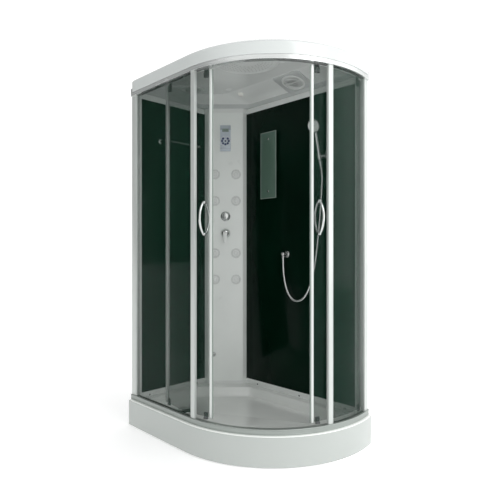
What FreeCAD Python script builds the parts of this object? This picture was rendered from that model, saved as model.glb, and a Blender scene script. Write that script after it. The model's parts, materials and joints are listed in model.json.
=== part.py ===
"""Asymmetric steam shower cabin: tray, walls, curved sliding doors, column, fittings and roof.

Frame: +Z up, X along the long wall, Y across, origin on the floor in the middle of the plan.
The long wall is the back side (+Y), the short wall the left side (-X), the column stands in
their corner, and the front runs straight from the left and then round an arc to the long wall.
Lengths are millimetres and angles are degrees.
"""
import FreeCAD, Part
import math
import os
import Sketcher

# ---------------------------------------------------------------- driving sizes
SIZES = (
    # plan and heights of the whole cabin
    ("cabin_length", 1200), ("cabin_depth", 800), ("corner_radius", 640), ("cabin_height", 2150),
    # tray
    ("rim_height", 155), ("rim_plate", 5), ("tray_wall", 5), ("skirt_drop", 25),
    ("basin_depth", 60), ("basin_wall_gap", 90), ("basin_front_gap", 78), ("basin_draft", 18),
    ("basin_corner_cut", 430), ("apron_wall", 4), ("apron_ground_gap", 3), ("soft_gap", 0.3),
    # drain
    ("drain_left", 250), ("drain_back", 570), ("drain_hole_radius", 45), ("drain_cover_radius", 56),
    ("drain_pipe_radius", 20), ("drain_pipe_length", 36), ("trap_depth", 48),
    # frame and feet under the tray
    ("tube_side", 25), ("frame_inset", 120), ("frame_front_share", 0.76),
    ("foot_radius", 24), ("foot_height", 12),
    ("stud_radius", 6), ("nut_radius", 10), ("nut_height", 8),
    # curved rails
    ("rail_inset", 14), ("rail_depth", 36), ("bottom_rail_height", 27.5), ("top_rail_low", 1991),
    ("top_rail_box", 12), ("top_rail_upstand", 33), ("rail_skin", 4), ("slot_depth", 8),
    ("rail_seam", 0.1),
    # glass and upright profiles
    ("glass_wall", 5), ("fixed_glass_inset", 30), ("door_glass_inset", 50), ("profile_width", 29),
    ("profile_depth", 17), ("wall_profile_length", 50), ("left_profile_angle", 3.24),
    ("right_profile_angle", 73.7), ("profile_slot", 10),
    # doors
    ("door_angle", 40.4), ("meeting_angle", 38.45), ("right_door_travel", 25.17),
    ("door_bottom", 198), ("door_top", 1987), ("left_door_shift", 70), ("left_door_rise", 13.5),
    ("left_door_lead", 20.74), ("edge_profile_width", 14), ("edge_profile_depth", 13),
    ("tail_profile_width", 28), ("tail_profile_depth", 15), ("seal_width", 4),
    # roller carriers and guides
    ("roller_radius", 11), ("roller_width", 5), ("roller_inset", 39.5), ("axle_radius", 3),
    ("carrier_width", 26), ("carrier_depth", 6), ("carrier_gap", 5.2), ("carrier_height", 34),
    ("roller_edge_distance", 45), ("guide_width", 22), ("guide_height", 34),
    ("guide_foot", 10), ("guide_gap", 0.6),
    # door handles
    ("handle_edge_distance", 52), ("handle_height", 1222), ("handle_reach", 82),
    ("handle_bow", 45), ("handle_bar", 6), ("handle_base_radius", 9), ("handle_base", 5),
    ("handle_stud", 4),
    # back panels in their frames
    ("wall_gap", 35), ("panel_wall", 5), ("panel_low", 188.5), ("panel_high", 1980),
    ("frame_high", 2014), ("frame_lip", 3), ("panel_bite", 8), ("stile_width", 14),
    ("long_panel_end", 97), ("short_panel_end", 64.5),
    # corner column
    ("column_reach", 241), ("column_step", 39), ("column_wall", 3.5), ("column_cap", 27),
    ("column_foot", 21), ("column_trim", 4),
    # control panel on the column
    ("control_width", 70), ("control_height", 174), ("control_depth", 8), ("control_centre", 1812),
    ("control_box_width", 56), ("control_box_height", 156), ("control_box_depth", 24),
    ("ring_centre", 1793.5), ("ring_radius", 22.5), ("ring_step", 45), ("button_radius", 7.5),
    ("centre_button_radius", 6), ("button_out", 2), ("button_body", 8), ("display_width", 44),
    ("display_height", 22), ("display_centre", 1866), ("display_wall", 2),
    # body jets
    ("jet_spread", 141), ("jet_1", 1569), ("jet_2", 1390), ("jet_3", 1036.5), ("jet_4", 859),
    ("jet_radius", 32), ("jet_plate", 4), ("jet_dome", 8), ("jet_nozzle_radius", 7),
    ("jet_stem_radius", 11), ("jet_stem", 34),
    # diverter and mixer
    ("diverter_centre", 1286), ("diverter_radius", 33), ("diverter_height", 30),
    ("mixer_centre", 1171), ("mixer_radius", 32), ("mixer_height", 36), ("cartridge_radius", 15),
    ("cartridge_length", 58), ("lever_width", 28), ("lever_length", 66), ("lever_wall", 8),
    ("lever_hub", 7), ("manifold_width", 150), ("manifold_side", 36), ("inlet_radius", 10.5),
    ("inlet_length", 24), ("inlet_spread", 100),
    # steam generator and steam outlet
    ("steam_outlet_centre", 352), ("steam_outlet_side", 82), ("steam_outlet_radius", 17),
    ("generator_width", 150), ("generator_depth", 88), ("generator_height", 260),
    ("generator_low", 420),
    # mirror
    ("mirror_left", 391), ("mirror_right", 530), ("mirror_low", 1390), ("mirror_high", 1822),
    ("mirror_wall", 4), ("mirror_off", 15), ("standoff_radius", 7), ("standoff_low", 1438),
    ("standoff_high", 1775),
    # towel bar
    ("towel_near", 600), ("towel_far", 330), ("towel_height", 1738), ("towel_off", 55),
    ("towel_radius", 6), ("towel_post", 8), ("rosette_radius", 15), ("rosette", 5),
    # hose elbow, riser rail, slider and handshower
    ("elbow_along", 605), ("elbow_height", 1032), ("elbow_off", 35), ("elbow_ball", 13),
    ("elbow_outlet_radius", 9), ("elbow_outlet", 26), ("riser_along", 945), ("riser_off", 37),
    ("riser_radius", 9), ("riser_low", 1240), ("riser_high", 1780), ("bracket_inset", 22),
    ("slider_height", 1600), ("slider_radius", 16), ("slider_length", 38), ("holder_side", 58),
    ("holder_radius", 15), ("holder_length", 32), ("hand_lean", 15), ("hand_radius", 10.5),
    ("hand_length", 150), ("head_distance", 176), ("head_radius", 40), ("head_wall", 20),
    ("head_nod", 20), ("head_forward", 8), ("nut_cone", 28), ("hand_below", 22), ("hose_radius", 7),
    # roof
    ("roof_inset", 10), ("roof_low", 2014), ("roof_band_high", 2078), ("roof_wall", 3.7),
    ("cove_low", 2041), ("cove_back_near", 46), ("cove_back_far", 200),
    ("cove_left_far", 54), ("cove_front_near", 52), ("cove_front_far", 80),
    ("ceiling_height", 2088), ("ring_along", 710), ("ring_back", 500),
    ("ring_outer", 183), ("ring_inner", 165), ("ring_drop", 8), ("fan_along", 726),
    ("fan_back", 123), ("boss_drop", 7), ("boss_width", 200), ("boss_length", 170),
    ("boss_depth", 50), ("fan_hole", 62),
    ("fan_flange_radius", 72), ("fan_flange", 4), ("fan_depth", 34), ("fan_bar", 9),
    ("impeller_radius", 52), ("impeller_hub", 17), ("impeller_depth", 16),
    ("speaker_along", 132), ("speaker_back", 415), ("speaker_radius", 72), ("speaker_drop", 7),
    ("light_along", 315), ("light_back", 164), ("light_radius", 18), ("light_drop", 14),
)

doc = FreeCAD.newDocument("SteamShowerCabin")
sheet = doc.addObject("Spreadsheet::Sheet", "sizes")
for row, (alias, number) in enumerate(SIZES, start=1):
    sheet.set("A%d" % row, str(number))
    sheet.setAlias("A%d" % row, alias)
doc.recompute()


class Size:
    """A length or an angle: its value, and the expression that binds it to the sheet."""

    def __init__(self, text, value):
        self.text = text
        self.value = value

    def __add__(self, other):
        other = size(other)
        return Size("(%s + %s)" % (self.text, other.text), self.value + other.value)

    def __sub__(self, other):
        other = size(other)
        return Size("(%s - %s)" % (self.text, other.text), self.value - other.value)

    def __mul__(self, other):
        other = size(other)
        return Size("(%s * %s)" % (self.text, other.text), self.value * other.value)

    def __truediv__(self, other):
        other = size(other)
        return Size("(%s / %s)" % (self.text, other.text), self.value / other.value)

    def __neg__(self):
        return Size("(0 - %s)" % self.text, -self.value)

    def __radd__(self, other):
        return size(other) + self

    def __rsub__(self, other):
        return size(other) - self

    def __rmul__(self, other):
        return size(other) * self


def size(number):
    """A Size as it is, or a plain number turned into one."""
    if isinstance(number, Size):
        return number
    return Size("(%.6f)" % number, float(number))


def sine(angle):
    return Size("sin(%s)" % angle.text, math.sin(math.radians(angle.value)))


def cosine(angle):
    return Size("cos(%s)" % angle.text, math.cos(math.radians(angle.value)))


def root(square):
    return Size("sqrt(%s)" % square.text, math.sqrt(square.value))


def arc_tangent(slope):
    return Size("(atan(%s) / (1 deg))" % slope.text, math.degrees(math.atan(slope.value)))


def degrees_of(arc_length, radius):
    """The angle that an arc of this length takes on this radius."""
    return arc_length * (180 / math.pi) / radius


class Dimensions:
    """The sheet's cells by name."""


dim = Dimensions()
for alias, number in SIZES:
    setattr(dim, alias, Size("sizes." + alias, float(number)))

# ---------------------------------------------------------------- shared places
HALF_TURN = 180
LEFT = -(dim.cabin_length / 2)
BACK = dim.cabin_depth / 2
FRONT = -BACK
ARC = (dim.cabin_length / 2 - dim.corner_radius, FRONT + dim.corner_radius)
SIN45 = math.sqrt(0.5)
UP = ()
TO_BACK = (("x", -90),)
TO_FRONT = (("x", 90),)
TO_RIGHT = (("y", 90),)
ON_COLUMN = (("z", 45), ("x", 90))
AXES = {"x": "vector(1; 0; 0)", "y": "vector(0; 1; 0)", "z": "vector(0; 0; 1)"}
parts = {}


def along(distance):
    """X of a point this far from the short wall."""
    return LEFT + distance


def off_back(distance):
    """Y of a point this far from the long wall."""
    return BACK - distance


def reach(inset):
    """Radius of the front arc this far inside the plan's edge."""
    return dim.corner_radius - inset


def on_arc(centre, radius, angle):
    """A point on an arc, its angle counted from the front towards the right."""
    return (centre[0] + radius * sine(angle), centre[1] - radius * cosine(angle))


# ---------------------------------------------------------------- building blocks
def place(item, base=(0, 0, 0), turns=UP):
    """Bind an object's Placement: a base point and turns, the outermost turn first."""
    point = "; ".join(size(value).text for value in base)
    spins = ["rotation(%s; %s)" % (AXES[axis], size(angle).text) for axis, angle in turns]
    spin = " * ".join(spins) if spins else "rotation(vector(0; 0; 1); 0)"
    item.setExpression("Placement", "placement(vector(%s); %s)" % (point, spin))
    return item


def bind(item, **values):
    """Bind an object's properties to their expressions."""
    for name, value in values.items():
        item.setExpression(name, size(value).text)
    return item


def box(name, low, extent, turns=UP):
    item = bind(doc.addObject("Part::Box", name),
                Length=extent[0], Width=extent[1], Height=extent[2])
    return place(item, low, turns)


def rod(name, base, radius, length, turns=UP):
    item = bind(doc.addObject("Part::Cylinder", name), Radius=radius, Height=length)
    return place(item, base, turns)


def cone(name, base, radius_low, radius_high, length, turns=UP):
    item = bind(doc.addObject("Part::Cone", name),
                Radius1=radius_low, Radius2=radius_high, Height=length)
    return place(item, base, turns)


def fuse(name, *items):
    item = doc.addObject("Part::MultiFuse", name)
    item.Shapes = list(items)
    return item


def cut(name, base, *tools):
    item = doc.addObject("Part::Cut", name)
    item.Base = base
    item.Tool = tools[0] if len(tools) == 1 else fuse(name + "_tools", *tools)
    return item


def group(name, items):
    """Separate solids that share one node."""
    item = doc.addObject("Part::Compound", name)
    item.Links = list(items)
    return item


def part(node, item):
    """Name a finished sub-part."""
    item.Label = node
    parts[node] = item
    return item


def sketch_wire(sketch, corners):
    """Draw a closed wire and tie each corner to the sheet.

    A corner is (x, y, edge): edge "line", or ("arc", centre) for an arc to the next corner that
    turns left, or ("back arc", centre) for one that turns right. The corner where an arc meets
    the long wall holds only its y, because the arc's radius gives the rest.
    """
    count = len(corners)
    points = [FreeCAD.Vector(size(x).value, size(y).value, 0) for x, y, edge in corners]
    starts = []
    for index, (x, y, edge) in enumerate(corners):
        here = points[index]
        there = points[(index + 1) % count]
        if edge == "line":
            sketch.addGeometry(Part.LineSegment(here, there), False)
            starts.append((1, 2))
            continue
        kind, centre = edge
        middle = FreeCAD.Vector(size(centre[0]).value, size(centre[1]).value, 0)
        circle = Part.Circle(middle, FreeCAD.Vector(0, 0, 1), (here - middle).Length)
        first, last = (here, there) if kind == "arc" else (there, here)
        turns = [math.atan2(point.y - middle.y, point.x - middle.x) for point in (first, last)]
        sketch.addGeometry(Part.ArcOfCircle(circle, turns[0], turns[1]), False)
        starts.append((1, 2) if kind == "arc" else (2, 1))
    for index in range(count):
        following = (index + 1) % count
        joint = Sketcher.Constraint("Coincident", index, starts[index][1],
                                    following, starts[following][0])
        sketch.addConstraint(joint)

    def tie(axis, edge_index, end, value):
        value = size(value)
        rule = Sketcher.Constraint("Distance" + axis, -1, 1, edge_index, end, value.value)
        number = sketch.addConstraint(rule)
        sketch.setExpression("Constraints[%d]" % number, value.text)

    for index, (x, y, edge) in enumerate(corners):
        before = corners[index - 1][2]
        if before[0] != "arc" and edge[0] != "back arc":
            tie("X", index, starts[index][0], x)
        tie("Y", index, starts[index][0], y)
        if edge != "line":
            tie("X", index, 3, edge[1][0])
            tie("Y", index, 3, edge[1][1])


def pad(name, corners, low, height):
    """A PartDesign body: one sketch at a height, padded upwards."""
    body = doc.addObject("PartDesign::Body", name)
    sketch = body.newObject("Sketcher::SketchObject", name + "_sketch")
    plane = [item for item in body.Origin.OriginFeatures if item.Role == "XY_Plane"][0]
    sketch.AttachmentSupport = (plane, "")
    sketch.MapMode = "FlatFace"
    sketch_wire(sketch, corners)
    sketch.setExpression("AttachmentOffset.Base.z", size(low).text)
    feature = body.newObject("PartDesign::Pad", name + "_pad")
    feature.Profile = sketch
    bind(feature, Length=height)
    body.Tip = feature
    return body


def loft(name, sections):
    """A ruled solid through sketches of the same kind at rising heights."""
    sketches = []
    for index, (corners, height) in enumerate(sections):
        sketch = doc.addObject("Sketcher::SketchObject", "%s_section_%d" % (name, index))
        sketch_wire(sketch, corners)
        sketches.append(place(sketch, (0, 0, height)))
    item = doc.addObject("Part::Loft", name)
    item.Sections = sketches
    item.Solid = True
    item.Ruled = True
    return item


def plan_outline(front_inset, back_inset, corner_cut=None, left_inset=None):
    """The cabin's plan, set in from the front, the long wall and the short wall."""
    if left_inset is None:
        left_inset = back_inset
    radius = reach(front_inset)
    wall_y = off_back(back_inset)
    wall_x = ARC[0] + root(radius * radius - (wall_y - ARC[1]) * (wall_y - ARC[1]))
    corners = [(along(left_inset), FRONT + front_inset, "line"),
               (ARC[0], FRONT + front_inset, ("arc", ARC)),
               (wall_x, wall_y, "line")]
    if corner_cut is None:
        return corners + [(along(left_inset), wall_y, "line")]
    return corners + [(along(corner_cut - back_inset), wall_y, "line"),
                      (along(left_inset), off_back(corner_cut - left_inset), "line")]


def front_band(name, outer, inner, low, height):
    """A band along the whole front, straight and then round the arc to the long wall."""
    ends = []
    for inset in (outer, inner):
        radius = reach(inset)
        ends.append(ARC[0] + root(radius * radius - (BACK - ARC[1]) * (BACK - ARC[1])))
    corners = [(LEFT, FRONT + outer, "line"),
               (ARC[0], FRONT + outer, ("arc", ARC)),
               (ends[0], BACK, "line"),
               (ends[1], BACK, ("back arc", ARC)),
               (ARC[0], FRONT + inner, "line"),
               (LEFT, FRONT + inner, "line")]
    return pad(name, corners, low, height)


def arc_band(name, centre, outer, inner, start, sweep, low, height):
    """A curved sheet between two radii, from a start angle round a sweep."""
    shell = bind(doc.addObject("Part::Cylinder", name + "_outside"),
                 Radius=outer, Height=height, Angle=sweep)
    place(shell, (centre[0], centre[1], low), (("z", start - 90),))
    hollow = rod(name + "_inside", (centre[0], centre[1], low - 1), inner, height + 2)
    return cut(name, shell, hollow)


def arc_box(name, centre, angle, outer, inner, width, low, height):
    """An upright bar that faces outwards from an arc's centre."""
    corner = (centre[0] - width / 2 * cosine(angle) + outer * sine(angle),
              centre[1] - width / 2 * sine(angle) - outer * cosine(angle), low)
    return box(name, corner, (width, outer - inner, height), (("z", angle),))


def radial_rod(name, centre, angle, start, radius, length, height):
    """A rod that points outwards from an arc's centre."""
    x, y = on_arc(centre, start, angle)
    return rod(name, (x, y, height), radius, length, (("z", angle), ("x", 90)))


# ---------------------------------------------------------------- tray
RIM = dim.rim_height
RIM_UNDER = RIM - dim.rim_plate
FLOOR = RIM - dim.basin_depth
DRAIN = (along(dim.drain_left), off_back(dim.drain_back))


def basin(wall):
    """The basin's inside, or its outside when a wall is added."""
    top = plan_outline(dim.basin_front_gap - wall, dim.basin_wall_gap - wall,
                       dim.basin_corner_cut - wall * 2)
    foot = plan_outline(dim.basin_front_gap + dim.basin_draft - wall,
                        dim.basin_wall_gap + dim.basin_draft - wall,
                        dim.basin_corner_cut + dim.basin_draft * 2 - wall * 2)
    return top, foot


def build_tray():
    skin = dim.tray_wall
    skirt_inset = dim.apron_wall + dim.soft_gap
    rim = pad("tray_rim", plan_outline(size(0), size(0)), RIM_UNDER, dim.rim_plate)
    skirt = pad("tray_skirt", plan_outline(skirt_inset, size(0)),
                RIM_UNDER - dim.skirt_drop, dim.skirt_drop)
    hollow = pad("tray_skirt_hollow", plan_outline(skirt_inset + skin, skin),
                 RIM_UNDER - dim.skirt_drop - 1, dim.skirt_drop + 1)
    edge = cut("tray_edge", skirt, hollow)
    outer_top, outer_foot = basin(skin)
    inner_top, inner_foot = basin(size(0))
    bowl = loft("basin_outside", ((outer_foot, FLOOR - skin), (outer_top, RIM_UNDER + 1)))
    room = loft("basin_inside", ((inner_foot, FLOOR), (inner_top, RIM + dim.tray_wall)))
    hole = rod("drain_hole", (DRAIN[0], DRAIN[1], FLOOR - skin - 1), dim.drain_hole_radius,
               skin + 2)
    part("shower_tray", cut("tray", fuse("tray_body", rim, edge, bowl), room, hole))


def build_apron():
    low = dim.apron_ground_gap
    part("front_apron", front_band("apron", size(0), dim.apron_wall, low,
                                   RIM_UNDER - dim.soft_gap - low))


def build_tray_frame():
    side = dim.tube_side
    top = FLOOR - dim.tray_wall
    low = top - side
    back_run = dim.cabin_length - dim.frame_inset * 2
    front_run = back_run * dim.frame_front_share
    cross = dim.cabin_depth - dim.frame_inset * 2
    x_left = along(dim.frame_inset)
    y_front = FRONT + dim.frame_inset
    y_back = off_back(dim.frame_inset) - side
    crossings = [x_left + (front_run - side) * share for share in (0, 0.5, 1)]
    tubes = [box("frame_front_tube", (x_left, y_front, low), (front_run, side, side)),
             box("frame_back_tube", (x_left, y_back, low), (back_run, side, side))]
    for number, x in enumerate(crossings):
        tubes.append(box("frame_cross_tube_%d" % number, (x, y_front, low),
                         (side, cross, side)))
    part("tray_frame", fuse("frame_tubes", *tubes))
    places = [(x, y) for x in crossings for y in (y_front, y_back)]
    places.append((x_left + back_run - side, y_back))
    feet = []
    for number, (x, y) in enumerate(places):
        name = "foot_%d" % number
        x, y = x + side / 2, y + side / 2
        plate = rod(name + "_pad", (x, y, 0), dim.foot_radius, dim.foot_height)
        stud = rod(name + "_stud", (x, y, dim.foot_height / 2), dim.stud_radius,
                   low - dim.foot_height / 2)
        nut = rod(name + "_nut", (x, y, low - dim.nut_height), dim.nut_radius, dim.nut_height)
        feet.append(fuse(name, plate, stud, nut))
    part("levelling_feet", group("feet", feet))


def build_drain():
    x, y = DRAIN
    flange = dim.drain_cover_radius - 6
    under = FLOOR - dim.tray_wall
    cup_low = under - dim.trap_depth
    cup = rod("trap_cup", (x, y, cup_low), flange, dim.trap_depth)
    room = rod("trap_room", (x, y, cup_low + 4), dim.drain_hole_radius - 3, dim.trap_depth)
    pipe_low = cup_low - dim.drain_pipe_length
    pipe = rod("trap_pipe", (x, y, pipe_low), dim.drain_pipe_radius, dim.drain_pipe_length + 1)
    bore = rod("trap_bore", (x, y, pipe_low - 1), dim.drain_pipe_radius - 3,
               dim.drain_pipe_length + 10)
    part("drain_trap", cut("trap", fuse("trap_body", cup, pipe), room, bore))
    plate = cone("cover_plate", (x, y, FLOOR), dim.drain_cover_radius,
                 dim.drain_cover_radius - 4, 4)
    plug = rod("cover_plug", (x, y, FLOOR - dim.tray_wall + 1), dim.drain_hole_radius - 5,
               dim.tray_wall)
    part("drain_cover", fuse("cover", plate, plug))


# ---------------------------------------------------------------- rails and uprights
RAIL_IN = dim.rail_inset + dim.rail_depth
BOTTOM_RAIL_TOP = RIM + dim.bottom_rail_height
RAIL_OVER = dim.top_rail_low + dim.top_rail_box
GLASS_CLEAR = dim.soft_gap


def glass_slot(name, low, height):
    half = dim.glass_wall / 2 + GLASS_CLEAR
    return front_band(name, dim.fixed_glass_inset - half, dim.fixed_glass_inset + half,
                      low, height)


def build_rails():
    body = front_band("bottom_rail_body", dim.rail_inset, RAIL_IN, RIM, dim.bottom_rail_height)
    slot = glass_slot("bottom_slot", BOTTOM_RAIL_TOP - dim.slot_depth, dim.slot_depth + 1)
    part("bottom_rail", cut("bottom_rail_cut", body, slot))
    skin_in = dim.rail_inset + dim.rail_skin
    track = front_band("top_rail_body", skin_in + dim.rail_seam, RAIL_IN, dim.top_rail_low,
                       dim.top_rail_box)
    fascia = front_band("top_rail_fascia", dim.rail_inset, skin_in, dim.top_rail_low,
                        dim.top_rail_box + dim.top_rail_upstand)
    slot = glass_slot("top_slot", dim.top_rail_low - 1, dim.slot_depth + 1)
    part("top_rail", group("top_rail_pieces", (cut("top_rail_track", track, slot), fascia)))


PROFILE_LOW = BOTTOM_RAIL_TOP
PROFILE_HEIGHT = dim.top_rail_low - PROFILE_LOW
PROFILE_OUT = dim.fixed_glass_inset - dim.profile_depth / 2
PROFILE_IN = dim.fixed_glass_inset + dim.profile_depth / 2
SLOT_HALF = dim.glass_wall / 2 + GLASS_CLEAR


def build_wall_profiles():
    """Channels on the two walls that hold the outer edges of the fixed glass."""
    length = dim.wall_profile_length
    left = box("left_channel", (LEFT, FRONT + PROFILE_OUT, PROFILE_LOW),
               (length, dim.profile_depth + 5, PROFILE_HEIGHT))
    groove = box("left_channel_groove",
                 (LEFT + length - dim.profile_slot - 1,
                  FRONT + dim.fixed_glass_inset - SLOT_HALF, PROFILE_LOW - 1),
                 (dim.profile_slot + 2, SLOT_HALF * 2, PROFILE_HEIGHT + 2))
    left_part = cut("left_wall_channel", left, groove)
    wall_angle = arc_angle_at_wall(dim.fixed_glass_inset)
    sweep = degrees_of(length, reach(dim.fixed_glass_inset))
    right = arc_band("right_channel", ARC, reach(PROFILE_OUT), reach(PROFILE_IN + 5),
                     wall_angle - sweep, sweep, PROFILE_LOW, PROFILE_HEIGHT)
    bite = degrees_of(dim.profile_slot + 1, reach(dim.fixed_glass_inset))
    slot = arc_band("right_channel_groove", ARC, reach(dim.fixed_glass_inset - SLOT_HALF),
                    reach(dim.fixed_glass_inset + SLOT_HALF), wall_angle - sweep - 1,
                    bite + 1, PROFILE_LOW - 1, PROFILE_HEIGHT + 2)
    wall = box("right_channel_wall", (ARC[0], BACK, PROFILE_LOW - 1),
               (dim.cabin_length, 50, PROFILE_HEIGHT + 2))
    right_part = cut("right_wall_channel", right, slot, wall)
    part("wall_profiles", group("wall_channels", (left_part, right_part)))


def arc_angle_at_wall(inset):
    """The arc's angle where it meets the long wall, from its sine and a sheet of height."""
    radius = reach(inset)
    rise = (BACK - ARC[1]) / radius
    return Size("(90 + asin(%s) / (1 deg))" % rise.text,
                90 + math.degrees(math.asin(rise.value)))


def build_front_profiles():
    """The two uprights that hold the inner edges of the fixed glass."""
    uprights = []
    slot_outer = reach(dim.fixed_glass_inset - SLOT_HALF)
    slot_inner = reach(dim.fixed_glass_inset + SLOT_HALF)
    for side, angle, direction in (("left", dim.left_profile_angle, -1),
                                   ("right", dim.right_profile_angle, 1)):
        bar = arc_box(side + "_upright", ARC, angle, reach(PROFILE_OUT), reach(PROFILE_IN),
                      dim.profile_width, PROFILE_LOW, PROFILE_HEIGHT)
        shift = degrees_of(dim.profile_width / 2 - dim.profile_slot / 2 + 1,
                           reach(dim.fixed_glass_inset))
        groove = arc_box(side + "_upright_groove", ARC, angle + shift * direction, slot_outer,
                         slot_inner, dim.profile_slot + 4, PROFILE_LOW - 1, PROFILE_HEIGHT + 2)
        uprights.append(cut(side + "_front_upright", bar, groove))
    part("front_profiles", group("front_uprights", uprights))


def build_fixed_glass():
    low = BOTTOM_RAIL_TOP - dim.slot_depth + 1
    height = dim.top_rail_low + dim.slot_depth - 1 - low
    outer = dim.fixed_glass_inset - dim.glass_wall / 2
    inner = dim.fixed_glass_inset + dim.glass_wall / 2
    bite = dim.profile_slot - 2
    start_x = LEFT + dim.wall_profile_length - bite
    left_edge = degrees_of(dim.profile_width / 2 - bite, reach(dim.fixed_glass_inset))
    end_angle = dim.left_profile_angle - left_edge
    end_out = on_arc(ARC, reach(outer), end_angle)
    end_in = on_arc(ARC, reach(inner), end_angle)
    end_y = end_out[1] * 0.5 + end_in[1] * 0.5
    part("left_fixed_glass", pad("left_pane", [
        (start_x, FRONT + outer, "line"), (ARC[0], FRONT + outer, "line"),
        (end_out[0], end_y - dim.glass_wall / 2, "line"),
        (end_out[0], end_y + dim.glass_wall / 2, "line"),
        (ARC[0], FRONT + inner, "line"), (start_x, FRONT + inner, "line")], low, height))
    wall_angle = arc_angle_at_wall(dim.fixed_glass_inset)
    radius = reach(dim.fixed_glass_inset)
    start = dim.right_profile_angle + degrees_of(dim.profile_width / 2 - bite, radius)
    stop = wall_angle - degrees_of(dim.wall_profile_length - bite, radius)
    part("right_fixed_glass", arc_band("right_pane", ARC, reach(outer), reach(inner), start,
                                       stop - start, low, height))


# ---------------------------------------------------------------- sliding doors
DOOR_RADIUS = reach(dim.door_glass_inset)
LEFT_CENTRE = (ARC[0] - dim.left_door_shift, ARC[1] - dim.left_door_rise)
GLASS_OUT = DOOR_RADIUS + dim.glass_wall / 2
GLASS_IN = DOOR_RADIUS - dim.glass_wall / 2


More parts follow.
